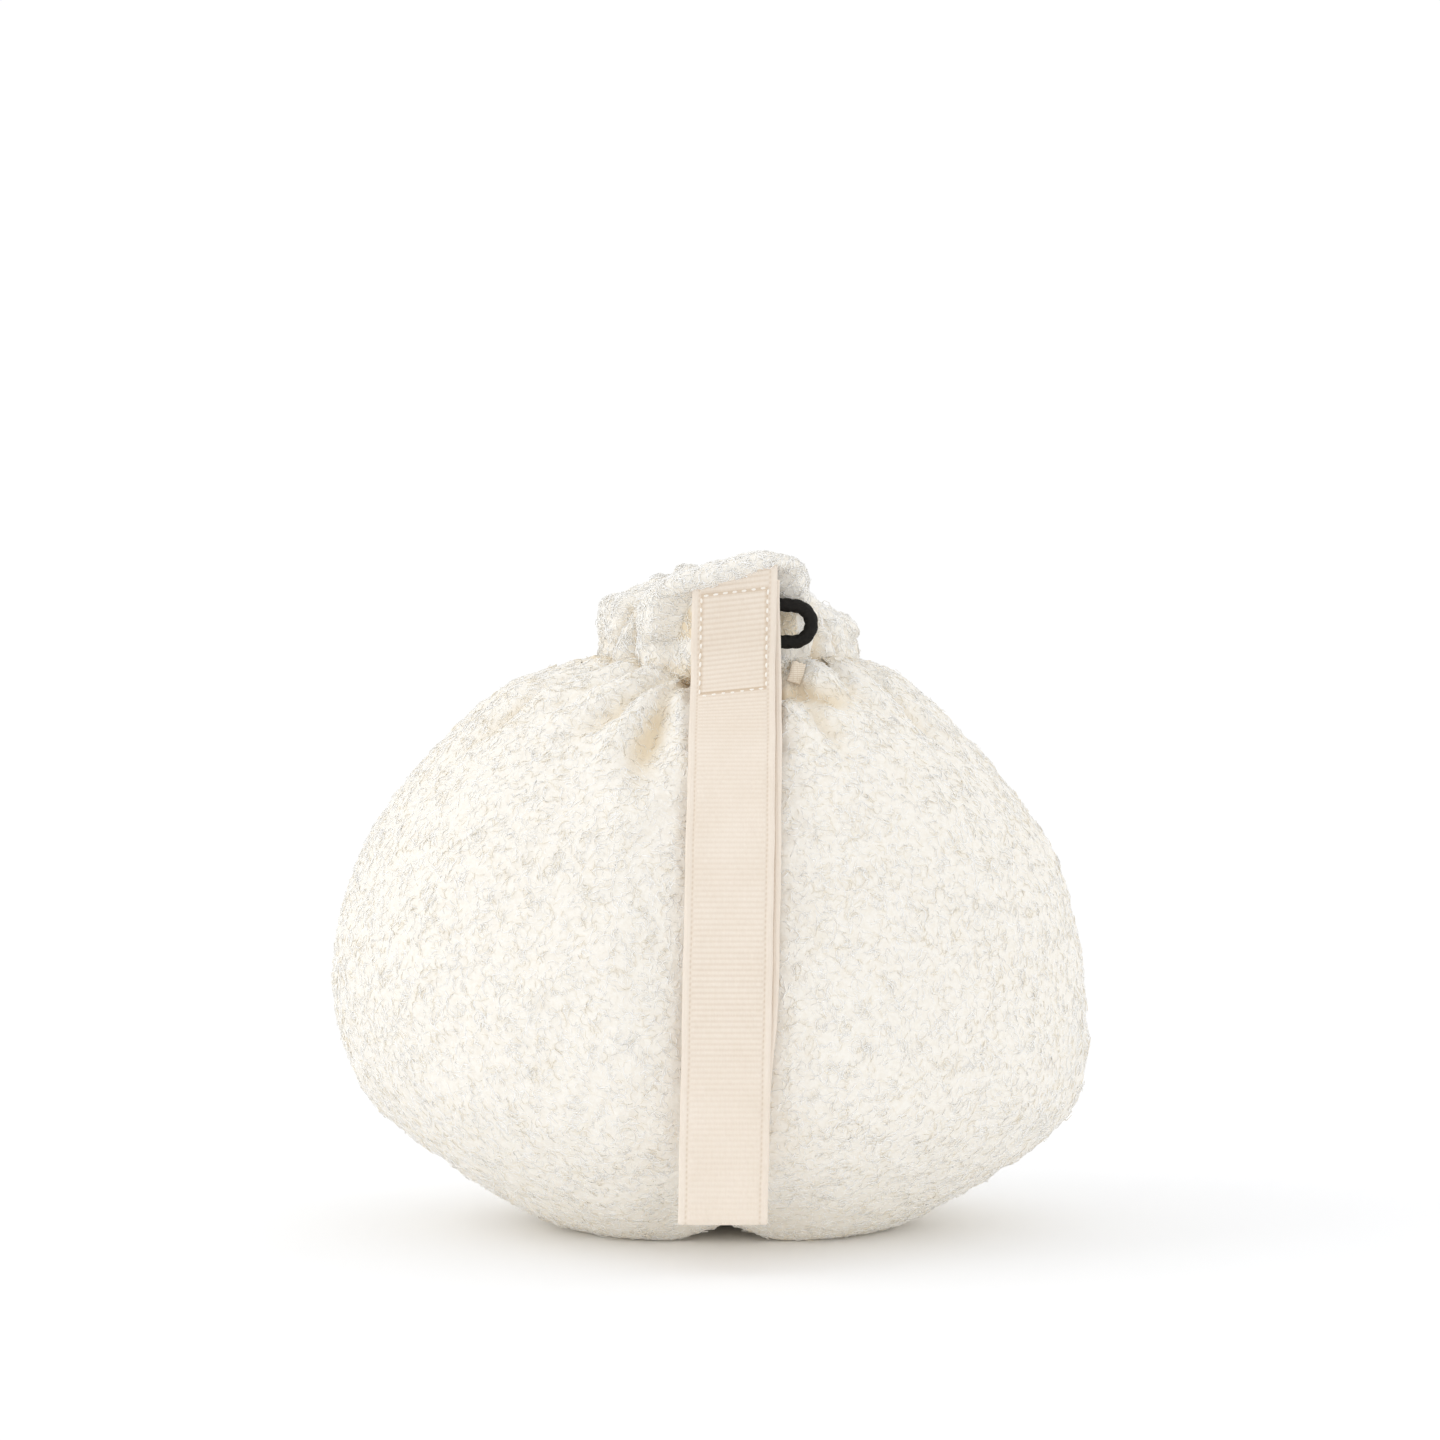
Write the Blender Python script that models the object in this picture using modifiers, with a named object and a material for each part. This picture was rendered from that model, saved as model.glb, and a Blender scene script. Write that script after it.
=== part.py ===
"""Herbal compress ball: a plush pouch that an elastic drawstring gathers at the neck.

It holds a tied muslin sachet of herbs, and a doubled ribbon hand strap is sewn to its collar.
The front faces -Y and +Z is up. The origin is on the surface that the ball rests on, under the
middle of its box. Lengths are in metres.
"""

import math

import bmesh
import bpy
from mathutils import Matrix, Vector

# Pouch: its outline as turned (radius, height), before it is made oval
HALF_WIDTH = 0.0839
HALF_DEPTH = 0.0720
FOOT_RADIUS = 0.0355
BELLY_HEIGHT = 0.0500
NECK_RADIUS = 0.0155
NECK_TOP = 0.1340
POUCH_OUTLINE = (
    (0.0, 0.0),
    (0.0150, 0.0),
    (FOOT_RADIUS, 0.0),
    (0.0572, 0.0098),
    (0.0775, 0.0268),
    (HALF_WIDTH, BELLY_HEIGHT),
    (0.0790, 0.0785),
    (0.0640, 0.1020),
    (0.0455, 0.1174),
    (0.0300, 0.1235),
    (0.0190, 0.1242),
    (NECK_RADIUS, 0.1264),
    (NECK_RADIUS, NECK_TOP),
)
COVER_THICKNESS = 0.0025
POUCH_Y = 0.0006
NECK_X = 0.0041
BASE_X = 0.0043
BELLY_X = -0.0002
SHOULDER_RADIUS = 0.0450

# Seam, gathers and the hollows they leave
SEAM_X = 0.0038
SEAM_GAP = 0.0003
SEAM_DEPTH = 0.0020
NECK_VALLEY = 0.0014
SEAT_HALF_WIDTH = 0.0105
SEAT_SIDE = 0.0135
ARCH_HEIGHT = 0.0030
ARCH_HALF_WIDTH = 0.0135
ARCH_RISE = 0.0220
PLEATS = 10
PLEAT_DEPTH = 0.0024

# Clear space between pieces that touch, and the pieces inside the cover
GAP = 0.0004
SACHET_INSET = 0.0066
SACHET_WALL = 0.0008
SACHET_SHOULDER = 0.1055
FILLING_INSET = 0.0086
SEAM_THREAD_INSET = 0.0042
SEAM_THREAD_RADIUS = 0.00035
SACHET_NECK = 0.0046
TIE_HEIGHT = 0.1145
TIE_RADIUS = 0.0008

# Drawstring and its casing round the neck
CORD_RADIUS = 0.0015
CORD_RING_RADIUS = 0.0194
CORD_HEIGHT = 0.1302
KNOT_RADIUS = 0.0025
KNOT_THICKNESS = 0.0006
CASING_INNER = 0.0163
CASING_OUTER = 0.0236
CASING_WALL = 0.0007
CASING_HALF_HEIGHT = 0.0040
CASING_THREAD_RADIUS = 0.0003
GATE_LEFT = -0.0115
GATE_RIGHT = 0.0095
EXIT_LEFT = -0.0085
EXIT_RIGHT = 0.0085

# Collar, as turned (radius, height)
COLLAR_OUTLINE = (
    (0.0055, 0.1352),
    (0.0243, 0.1352),
    (0.0243, 0.1262),
    (0.0262, 0.1247),
    (0.0300, 0.1275),
    (0.0292, 0.1330),
    (0.0235, 0.1385),
    (0.0170, 0.1412),
    (0.0118, 0.1446),
    (0.0088, 0.1472),
    (0.0068, 0.1470),
    (0.0055, 0.1430),
)
COLLAR_LOBES = 9
COLLAR_LOBE_DEPTH = 0.0012
COLLAR_FRONT_Y = -0.0286

# Ribbon strap, doubled, and its stitching
STRAP_WIDTH = 0.0180
STRAP_THICKNESS = 0.0010
STRAP_LAYER_GAP = 0.0004
STRAP_REST_GAP = 0.0006
STRAP_X = 0.0050
STRAP_LEAN = 0.0200
STRAP_TOP = 0.1405
STRAP_BOTTOM = 0.0100
HINGE_HEIGHT = 0.1138
STITCH_RADIUS = 0.00025
STITCH_HALF_WIDTH = 0.0070
STITCH_TOP = 0.1386
STITCH_BOTTOM = 0.1173

# Pull loop: the bight of the drawstring that comes out from behind the strap
LOOP_HALF_HEIGHT = 0.00385
LOOP_HEIGHT = 0.1320
LOOP_LEFT = 0.0020
LOOP_BEND_X = 0.0180

COLUMNS = 40
COLUMN_CROWDING = 0.33
SECTION_SIDES = 6
HALF_STACK = STRAP_THICKNESS + STRAP_LAYER_GAP / 2
STRAP_SEWN_Y = COLLAR_FRONT_Y - GAP - 2 * CORD_RADIUS - GAP - HALF_STACK

COLOURS = {
    "plush": ((0.86, 0.83, 0.77), 0.95),
    "muslin": ((0.72, 0.64, 0.50), 0.90),
    "herbs": ((0.20, 0.17, 0.07), 0.95),
    "ribbon": ((0.84, 0.74, 0.64), 0.60),
    "tape": ((0.80, 0.70, 0.58), 0.75),
    "cord": ((0.010, 0.009, 0.008), 0.70),
    "thread": ((0.88, 0.83, 0.75), 0.70),
}


def clear_scene():
    for item in list(bpy.data.objects):
        bpy.data.objects.remove(item, do_unlink=True)


def new_collection(name):
    collection = bpy.data.collections.new(name)
    bpy.context.scene.collection.children.link(collection)
    return collection


def part_material(node, kind):
    """Each part has a material of its own, in the colour of what it is made of."""
    colour, roughness = COLOURS[kind]
    material = bpy.data.materials.new(node)
    material.use_nodes = True
    shader = material.node_tree.nodes["Principled BSDF"]
    shader.inputs["Base Color"].default_value = (*colour, 1)
    shader.inputs["Roughness"].default_value = roughness
    shader.inputs["Metallic"].default_value = 0.0
    return material


def add_part(node, data, kind, collection):
    part = bpy.data.objects.new(node, data)
    data.materials.clear()
    data.materials.append(part_material(node, kind))
    collection.objects.link(part)
    return part


def smooth(share):
    share = min(max(share, 0.0), 1.0)
    return share * share * (3 - 2 * share)


def smooth_line(points, steps):
    """A Catmull-Rom line through the points, with this many steps between two of them."""
    points = [Vector(point) for point in points]
    ends = [2 * points[0] - points[1], *points, 2 * points[-1] - points[-2]]
    line = []
    for before, start, end, after in zip(ends, ends[1:], ends[2:], ends[3:]):
        for step in range(steps):
            t = step / steps
            bend = 2 * start + (end - before) * t
            bend += (2 * before - 5 * start + 4 * end - after) * t**2
            bend += (3 * start - before - 3 * end + after) * t**3
            line.append(bend / 2)
    return [*line, points[-1]]


def pouch_profile(steps):
    """The cover's turned outline, held flat where the feet rest."""
    return [Vector((p.x, max(p.y, 0.0))) for p in smooth_line(POUCH_OUTLINE, steps)]


def inset_profile(inset, steps, top):
    """The cover's outline moved inwards, from the bottom up to a height."""
    line = pouch_profile(steps)
    moved = [Vector((0.0, inset))]
    for before, point, after in zip(line, line[1:], line[2:]):
        along = (after - before).normalized()
        inner = point + Vector((-along.y, along.x)) * inset
        if inner.y < top:
            moved.append(inner)
    return moved


def radius_at(height):
    """The cover's turned radius at a height above its feet."""
    line = [point for point in pouch_profile(12) if point.x >= FOOT_RADIUS or point.y > 0]
    for low, high in zip(line, line[1:]):
        if low.y <= height <= high.y and high.y > low.y:
            return low.x + (high.x - low.x) * (height - low.y) / (high.y - low.y)
    return NECK_RADIUS


def centre_x(height):
    """The filled pouch leans: its base and its neck are right of its belly."""
    lean = BELLY_X + (BASE_X - BELLY_X) * smooth((0.058 - height) / 0.045)
    return lean + (NECK_X - BELLY_X) * smooth((height - 0.1165) / 0.0090)


def seat_depth(height):
    """How far the front is drawn in along its seam, where the strap lies."""
    return SEAM_DEPTH + NECK_VALLEY * smooth((height - 0.080) / 0.037)


def pouch_point(radius, angle, height):
    """A turned point of the pouch, made oval, gathered at the neck and drawn in along the seam."""
    fullness = smooth((radius - NECK_RADIUS) / (SHOULDER_RADIUS - NECK_RADIUS))
    oval = 1 + fullness * (HALF_DEPTH / HALF_WIDTH - 1)
    gather = smooth((height - 0.098) / 0.014) * smooth((radius - 0.017) / 0.010)
    radius -= PLEAT_DEPTH / 2 * (1 - math.cos(PLEATS * angle)) * gather
    x = centre_x(height) + radius * math.cos(angle)
    y = radius * math.sin(angle) * oval
    across = abs(x - SEAM_X)
    drawn_in = smooth((radius - 0.012) / 0.020)
    if y < 0:
        y += seat_depth(height) * (1 - smooth((across - SEAT_HALF_WIDTH) / SEAT_SIDE)) * drawn_in
    else:
        y -= SEAM_DEPTH * (1 - smooth(across / SEAT_SIDE)) * drawn_in
    arch = (1 - smooth(across / ARCH_HALF_WIDTH)) * (1 - smooth(height / ARCH_RISE))
    return Vector((x, POUCH_Y + y, height + ARCH_HEIGHT * arch))


def neck_point(radius, angle, height):
    """A turned point about the neck's axis."""
    return Vector((NECK_X + radius * math.cos(angle), POUCH_Y + radius * math.sin(angle), height))


def collar_point(radius, angle, height):
    """A turned point of the collar, puckered outside and pressed flat behind the strap."""
    outer = smooth((radius - 0.0250) / 0.0040)
    radius -= COLLAR_LOBE_DEPTH / 2 * (1 - math.cos(COLLAR_LOBES * angle)) * outer
    point = neck_point(radius, angle, height)
    point.y = max(point.y, COLLAR_FRONT_Y)
    return point


def turned(node, outline, place, kind, collection, ring=False):
    """An outline turned about the vertical, with columns closer together at front and back."""
    builder = bmesh.new()
    points = [builder.verts.new((radius, 0.0, height)) for radius, height in outline]
    following = points[1:] + (points[:1] if ring else [])
    edges = [builder.edges.new(pair) for pair in zip(points, following)]
    bmesh.ops.spin(
        builder,
        geom=points + edges,
        axis=(0, 0, 1),
        angle=math.tau,
        steps=COLUMNS,
        use_merge=True,
    )
    bmesh.ops.remove_doubles(builder, verts=builder.verts, dist=0.000001)
    for vertex in builder.verts:
        radius = math.hypot(vertex.co.x, vertex.co.y)
        angle = math.atan2(vertex.co.y, vertex.co.x)
        angle += COLUMN_CROWDING * math.sin(2 * angle)
        vertex.co = place(radius, angle, vertex.co.z)
    bmesh.ops.recalc_face_normals(builder, faces=builder.faces)
    mesh = bpy.data.meshes.new(node)
    builder.to_mesh(mesh)
    builder.free()
    mesh.shade_smooth()
    return add_part(node, mesh, kind, collection)


def tube(node, points, radius, kind, collection, closed=False):
    """A thread or cord along points."""
    curve = bpy.data.curves.new(node, "CURVE")
    curve.dimensions = "3D"
    curve.bevel_depth = radius
    curve.bevel_resolution = 2
    curve.use_fill_caps = True
    spline = curve.splines.new("POLY")
    spline.points.add(len(points) - 1)
    for target, point in zip(spline.points, points):
        target.co = (*point, 1)
    spline.use_cyclic_u = closed
    return add_part(node, curve, kind, collection)


def box_cutter(name, low, high, cutters):
    low, high = Vector(low), Vector(high)
    bpy.ops.mesh.primitive_cube_add(size=1, location=(low + high) / 2)
    cutter = bpy.context.object
    cutter.name = name
    cutter.data.transform(Matrix.Diagonal((*(high - low), 1)))
    for collection in list(cutter.users_collection):
        collection.objects.unlink(cutter)
    cutters.objects.link(cutter)
    cutter.hide_render = True
    cutter.display_type = "WIRE"
    return cutter


def boolean(part, cutter, operation):
    modifier = part.modifiers.new(cutter.name, "BOOLEAN")
    modifier.operation = operation
    modifier.solver = "EXACT"
    modifier.object = cutter


def thicken(part, thickness):
    modifier = part.modifiers.new("Thickness", "SOLIDIFY")
    modifier.thickness = thickness
    modifier.offset = -1


def make_cover(parts, cutters):
    """The plush cover: two panels that meet at a seam over front, base and back."""
    for side, sign in (("left", -1), ("right", 1)):
        panel = turned(f"cover_{side}_panel", pouch_profile(2), pouch_point, "plush", parts)
        thicken(panel, COVER_THICKNESS)
        near = SEAM_X + sign * SEAM_GAP / 2
        far = SEAM_X + sign * 2 * HALF_WIDTH
        low = (min(near, far), -HALF_WIDTH * 2, -HALF_WIDTH)
        high = (max(near, far), HALF_WIDTH * 2, HALF_WIDTH * 3)
        boolean(panel, box_cutter(f"{side}_half", low, high, cutters), "INTERSECT")


def make_seam_thread(parts):
    """The sewing line inside the seam, from the neck down the front, under and up the back."""
    profile = [p for p in inset_profile(SEAM_THREAD_INSET, 2, 0.1245) if p.x > 0.006]
    down = [seam_point(point, -1) for point in reversed(profile)]
    up = [seam_point(point, 1) for point in profile]
    tube("seam_thread", down + up, SEAM_THREAD_RADIUS, "thread", parts)


def seam_point(point, side):
    """Where a turned outline's point meets the seam's plane, at the front (-1) or the back (1)."""
    angle = math.acos((SEAM_X - centre_x(point.y)) / point.x)
    return pouch_point(point.x, side * angle, point.y)


def make_sachet(parts):
    """A muslin bag round the herbs, tied at its neck, with its gathered ends open above the tie."""
    body = inset_profile(SACHET_INSET, 1, SACHET_SHOULDER)
    neck = smooth_line(
        (
            body[-1],
            (0.0300, 0.1090),
            (0.0120, 0.1108),
            (SACHET_NECK, TIE_HEIGHT - 2 * TIE_RADIUS),
            (SACHET_NECK, TIE_HEIGHT + 2 * TIE_RADIUS),
            (0.0075, 0.1220),
            (0.0100, 0.1260),
        ),
        1,
    )
    sachet = turned("herb_sachet", body[:-1] + neck, pouch_point, "muslin", parts)
    thicken(sachet, SACHET_WALL)
    centre = SACHET_NECK + 2 * GAP + TIE_RADIUS
    turned("sachet_tie", circle(centre, TIE_HEIGHT, TIE_RADIUS), pouch_point, "thread", parts, ring=True)
    body = inset_profile(FILLING_INSET, 1, SACHET_SHOULDER - 0.004)
    crown = [Vector((0.0300, 0.1050)), Vector((0.0, 0.1070))]
    turned("herb_filling", body + crown, pouch_point, "herbs", parts)


def circle(radius, height, size):
    """A round section about a turned ring's centre line."""
    turns = [math.tau * side / SECTION_SIDES for side in range(SECTION_SIDES)]
    return [Vector((radius + size * math.cos(a), height + size * math.sin(a))) for a in turns]


def make_casing(parts, cutters):
    """The tape channel round the neck, open at the front, with the sewing above and below it."""
    low, high = CORD_HEIGHT - CASING_HALF_HEIGHT, CORD_HEIGHT + CASING_HALF_HEIGHT
    section = (
        (CASING_INNER, low),
        (CASING_OUTER, low),
        (CASING_OUTER, high),
        (CASING_INNER, high),
        (CASING_INNER, high - CASING_WALL),
        (CASING_OUTER - CASING_WALL, high - CASING_WALL),
        (CASING_OUTER - CASING_WALL, low + CASING_WALL),
        (CASING_INNER, low + CASING_WALL),
    )
    casing = turned("casing_tape", section, neck_point, "tape", parts, ring=True)
    gate = box_cutter(
        "casing_gate",
        (NECK_X + GATE_LEFT, -HALF_WIDTH, 0.1),
        (NECK_X + GATE_RIGHT, POUCH_Y, 0.2),
        cutters,
    )
    boolean(casing, gate, "DIFFERENCE")
    rest = GAP + CASING_THREAD_RADIUS
    for place, height in (("lower", low - rest), ("upper", high + rest)):
        section = circle(0.0200, height, CASING_THREAD_RADIUS)
        turned(f"casing_thread_{place}", section, neck_point, "thread", parts, ring=True)


def cord_ring_point(degrees):
    return neck_point(CORD_RING_RADIUS, math.radians(degrees), CORD_HEIGHT)


def make_drawstring(parts):
    """The elastic cord in the casing. Both its ends come forward to the pull loop's two legs."""
    leg_y = COLLAR_FRONT_Y - GAP - CORD_RADIUS
    start = LOOP_LEFT - GAP
    upper = [
        (start, leg_y, LOOP_HEIGHT + LOOP_HALF_HEIGHT),
        (start - 0.0020, leg_y + 0.0004, LOOP_HEIGHT + LOOP_HALF_HEIGHT - 0.0002),
        (start - 0.0034, leg_y + 0.0028, LOOP_HEIGHT + LOOP_HALF_HEIGHT - 0.0010),
        (start - 0.0036, leg_y + 0.0060, CORD_HEIGHT + 0.0030),
    ]
    lower = [
        (start + 0.0030, leg_y + 0.0092, CORD_HEIGHT - 0.0002),
        (start - 0.0008, leg_y + 0.0066, LOOP_HEIGHT - LOOP_HALF_HEIGHT + 0.0009),
        (start - 0.0030, leg_y + 0.0036, LOOP_HEIGHT - LOOP_HALF_HEIGHT + 0.0002),
        (start - 0.0026, leg_y + 0.0008, LOOP_HEIGHT - LOOP_HALF_HEIGHT),
        (start, leg_y, LOOP_HEIGHT - LOOP_HALF_HEIGHT),
    ]
    round_the_neck = [cord_ring_point(degrees) for degrees in range(-116, -438, -12)]
    route = smooth_line([*upper, *round_the_neck, *lower], 2)
    tube("drawstring", route, CORD_RADIUS, "cord", parts)
    knot = turned_knot(parts)
    knot.location = cord_ring_point(90)


def turned_knot(parts):
    """The knot that joins the cord's ends, round the cord at the back."""
    bpy.ops.mesh.primitive_torus_add(
        major_radius=KNOT_RADIUS,
        minor_radius=KNOT_THICKNESS,
        major_segments=16,
        minor_segments=SECTION_SIDES,
    )
    torus = bpy.context.object
    mesh = torus.data
    mesh.transform(Matrix.Rotation(math.pi / 2, 4, "Y"))
    bpy.data.objects.remove(torus)
    mesh.shade_smooth()
    return add_part("drawstring_knot", mesh, "cord", parts)


def make_collar(parts, cutters):
    """The gathered hem above the casing, with the pouch's mouth through its middle."""
    collar = turned("collar_ruffle", COLLAR_OUTLINE, collar_point, "plush", parts, ring=True)
    exit_hole = box_cutter(
        "cord_exit",
        (NECK_X + EXIT_LEFT, -HALF_WIDTH, 0.1),
        (NECK_X + EXIT_RIGHT, POUCH_Y - 0.0195, LOOP_HEIGHT + LOOP_HALF_HEIGHT + 0.0022),
        cutters,
    )
    boolean(collar, exit_hole, "DIFFERENCE")


def strap_x(height):
    """The strap's middle, which leans a little to the left on its way down."""
    return STRAP_X + STRAP_LEAN * (height - HINGE_HEIGHT)


def strap_line():
    """The doubled strap's middle line as (y, height): sewn part, shoulder, belly, then plumb."""
    steps = 7
    rest = STRAP_REST_GAP + HALF_STACK
    drape = []
    for step in range(steps + 1):
        height = HINGE_HEIGHT + (BELLY_HEIGHT - HINGE_HEIGHT) * (step / steps) ** 1.3
        radius = radius_at(height)
        angle = -math.acos((STRAP_X - centre_x(height)) / radius)
        drape.append(Vector((pouch_point(radius, angle, height).y, height)))
    line = []
    for index, point in enumerate(drape):
        along = drape[min(index + 1, steps)] - drape[max(index - 1, 0)]
        out = Vector((along.y, -along.x)).normalized()
        line.append(point + out * rest)
    plumb = line[-1].x
    line += [Vector((plumb, 0.0320)), Vector((plumb, STRAP_BOTTOM + HALF_STACK))]
    sewn = [Vector((STRAP_SEWN_Y, height)) for height in (STRAP_TOP, 0.1320, 0.1240)]
    return smooth_line([*sewn, *line], 4), 4 * len(sewn)


def offset_line(line, offset):
    """The line moved outwards by offset, square to its own direction."""
    moved = []
    for index, point in enumerate(line):
        along = line[min(index + 1, len(line) - 1)] - line[max(index - 1, 0)]
        out = Vector((along.y, -along.x)).normalized()
        moved.append(point + out * offset)
    return moved


def fold(centre, radius, steps):
    """The half turn at the strap's lowest end, from its front round to its back."""
    turns = [math.pi + math.pi * step / steps for step in range(1, steps)]
    return [centre + Vector((math.cos(a), math.sin(a))) * radius for a in turns]


def ribbon(node, outline, parts):
    """A side outline of (y, height) made as wide as the strap, with the strap's slight lean."""
    curve = bpy.data.curves.new(node, "CURVE")
    curve.dimensions = "2D"
    curve.fill_mode = "BOTH"
    curve.extrude = STRAP_WIDTH / 2
    spline = curve.splines.new("POLY")
    spline.points.add(len(outline) - 1)
    for target, point in zip(spline.points, outline):
        target.co = (point.x, point.y, 0, 1)
    spline.use_cyclic_u = True
    drawn = bpy.data.objects.new(node, curve)
    bpy.context.scene.collection.objects.link(drawn)
    mesh = bpy.data.meshes.new_from_object(drawn.evaluated_get(bpy.context.evaluated_depsgraph_get()))
    bpy.data.objects.remove(drawn)
    builder = bmesh.new()
    builder.from_mesh(mesh)
    bmesh.ops.remove_doubles(builder, verts=builder.verts, dist=0.00001)
    for vertex in builder.verts:
        y, z, across = vertex.co
        vertex.co = (strap_x(z) + across, y, z)
    builder.to_mesh(mesh)
    builder.free()
    return add_part(node, mesh, "ribbon", parts)


def make_strap(parts):
    """The ribbon's two sewn ends, and the loop that swings from their lowest stitches."""
    line, hinge = strap_line()
    gap_side = STRAP_LAYER_GAP / 2
    sewn, hanging = line[: hinge + 1], line[hinge:]
    back_off = (sewn[-2] - sewn[-1]).normalized() * SEAM_GAP
    sewn = [*sewn[:-1], sewn[-1] + back_off]
    for node, near, far in (("front", gap_side, HALF_STACK), ("back", -HALF_STACK, -gap_side)):
        outline = offset_line(sewn, far) + offset_line(sewn, near)[::-1]
        ribbon(f"strap_sewn_end_{node}", outline, parts)
    outside = offset_line(hanging, HALF_STACK) + fold(hanging[-1], HALF_STACK, 6)
    outside += offset_line(hanging, -HALF_STACK)[::-1]
    inside = offset_line(hanging, -gap_side) + fold(hanging[-1], gap_side, 3)[::-1]
    inside += offset_line(hanging, gap_side)[::-1]
    ribbon("hand_strap_loop", outside + inside, parts)


def make_box_stitch(parts):
    """The thread that sews both ribbon ends to the collar, as one line round a box."""
    line, hinge = strap_line()
    front = offset_line(line, HALF_STACK + GAP + STITCH_RADIUS)
    side = [point for point in front if STITCH_BOTTOM < point.y < STITCH_TOP]
    runs = [(-STITCH_HALF_WIDTH, point) for point in side]
    runs += [(STITCH_HALF_WIDTH, point) for point in reversed(side)]
    points = [(strap_x(point.y) + x, point.x, point.y) for x, point in runs]
    tube("box_stitch_thread", points, STITCH_RADIUS, "thread", parts, closed=True)


def make_pull_loop(parts):
    """The cord's bight: two legs behind the strap and a half turn beyond its edge."""
    y = COLLAR_FRONT_Y - GAP - CORD_RADIUS
    legs = (0.0, 0.33, 0.66)
    reach = LOOP_BEND_X - LOOP_LEFT
    top = [(LOOP_LEFT + reach * share, y, LOOP_HEIGHT + LOOP_HALF_HEIGHT) for share in legs]
    turns = [math.pi / 2 - math.pi * step / 8 for step in range(9)]
    bend = [
        (
            LOOP_BEND_X + LOOP_HALF_HEIGHT * math.cos(a),
            y,
            LOOP_HEIGHT + LOOP_HALF_HEIGHT * math.sin(a),
        )
        for a in turns
    ]
    bottom = [(x, y, LOOP_HEIGHT - LOOP_HALF_HEIGHT) for x, y, z in reversed(top)]
    tube("pull_loop", top + bend + bottom, CORD_RADIUS, "cord", parts)


def main():
    clear_scene()
    parts = new_collection("herbal_compress_ball")
    cutters = new_collection("cutters")
    make_cover(parts, cutters)
    make_seam_thread(parts)
    make_sachet(parts)
    make_casing(parts, cutters)
    make_drawstring(parts)
    make_collar(parts, cutters)
    make_strap(parts)
    make_box_stitch(parts)
    make_pull_loop(parts)


main()
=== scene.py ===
import math

import bpy
import mathutils
import numpy as np
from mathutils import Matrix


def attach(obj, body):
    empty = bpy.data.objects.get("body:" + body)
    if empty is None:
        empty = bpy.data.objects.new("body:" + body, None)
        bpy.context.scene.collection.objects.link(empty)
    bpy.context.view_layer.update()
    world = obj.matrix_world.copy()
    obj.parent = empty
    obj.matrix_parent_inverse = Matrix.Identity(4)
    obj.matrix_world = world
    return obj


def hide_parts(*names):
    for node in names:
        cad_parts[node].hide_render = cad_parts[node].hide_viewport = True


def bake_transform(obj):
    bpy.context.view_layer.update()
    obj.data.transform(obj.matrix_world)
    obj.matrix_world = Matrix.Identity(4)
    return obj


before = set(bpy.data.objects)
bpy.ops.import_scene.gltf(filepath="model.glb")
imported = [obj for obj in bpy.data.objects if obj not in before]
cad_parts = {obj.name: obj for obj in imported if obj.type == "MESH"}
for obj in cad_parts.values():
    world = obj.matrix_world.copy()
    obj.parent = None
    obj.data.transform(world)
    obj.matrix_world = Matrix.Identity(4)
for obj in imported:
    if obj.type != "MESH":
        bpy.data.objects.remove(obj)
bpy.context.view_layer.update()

# ---------------------------------------------------------------- the pouch, as in the CAD, in metres
HALF_WIDTH = 0.0839
HALF_DEPTH = 0.0720
FOOT_RADIUS = 0.0355
NECK_RADIUS = 0.0155
POUCH_OUTLINE = (
    (0.0, 0.0), (0.0150, 0.0), (FOOT_RADIUS, 0.0), (0.0572, 0.0098), (0.0775, 0.0268),
    (HALF_WIDTH, 0.0500), (0.0790, 0.0785), (0.0640, 0.1020), (0.0455, 0.1174),
    (0.0300, 0.1235), (0.0190, 0.1242), (NECK_RADIUS, 0.1264), (NECK_RADIUS, 0.1340),
)
POUCH_Y = 0.0007
NECK_X = 0.0041
BASE_X = 0.0043
BELLY_X = -0.0004
SHOULDER_RADIUS = 0.0450
SEAM_X = 0.0038
SEAM_DEPTH = 0.0020
NECK_VALLEY = 0.0014
SEAT_HALF_WIDTH = 0.0105
SEAT_SIDE = 0.0135
ARCH_HEIGHT = 0.0030
ARCH_HALF_WIDTH = 0.0135
ARCH_RISE = 0.0220
CASING_TOP = 0.1352
COLLAR_INSIDE = ((0.0055, CASING_TOP), (0.0243, CASING_TOP))
COLLAR_FRONT_Y = -0.0286

# ---------------------------------------------------------------- the strap and the cord
STRAP_LINE = (
    (-0.03360, 0.1405), (-0.03360, 0.1320), (-0.03360, 0.1240), (-0.038958, 0.115155),
    (-0.044802, 0.110044), (-0.052799, 0.102479), (-0.059458, 0.093568),
    (-0.064872, 0.083692), (-0.068333, 0.073039), (-0.070330, 0.061790),
    (-0.070969, 0.050098), (-0.070969, 0.0320), (-0.070969, 0.0112),
)
STRAP_HALF_WIDTH = 0.0090
STRAP_X = 0.0050
STRAP_LEAN = 0.0200
HINGE_HEIGHT = 0.1138
HALF_STACK = 0.0012
LAYER_MIDDLE = 0.00068
LAYER_HALF = 0.00045
RIB_PITCH = 0.00114
RIB_RELIEF = 0.00014
BODY_HALF_WIDTH = 0.0071
GROOVE_PLACE = 0.00745
SELVEDGE_PLACE = 0.0076
TOP_SHEAR = 0.11
BOX_LOW, BOX_HIGH = 0.1173, 0.1386
BOX_HALF_WIDTH = 0.0070
BOX_SKEW = 0.0009
CORD_RADIUS = 0.0015
LOOP_LEFT = 0.0020
LOOP_BEND_X = 0.0180
LOOP_HEIGHT = 0.1320
LOOP_HALF_HEIGHT = 0.00385
LEG_Y = COLLAR_FRONT_Y - 0.0004 - CORD_RADIUS


def smooth(share):
    share = np.clip(share, 0.0, 1.0)
    return share * share * (3 - 2 * share)


def bell(share):
    return np.exp(-(share**2))


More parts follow.
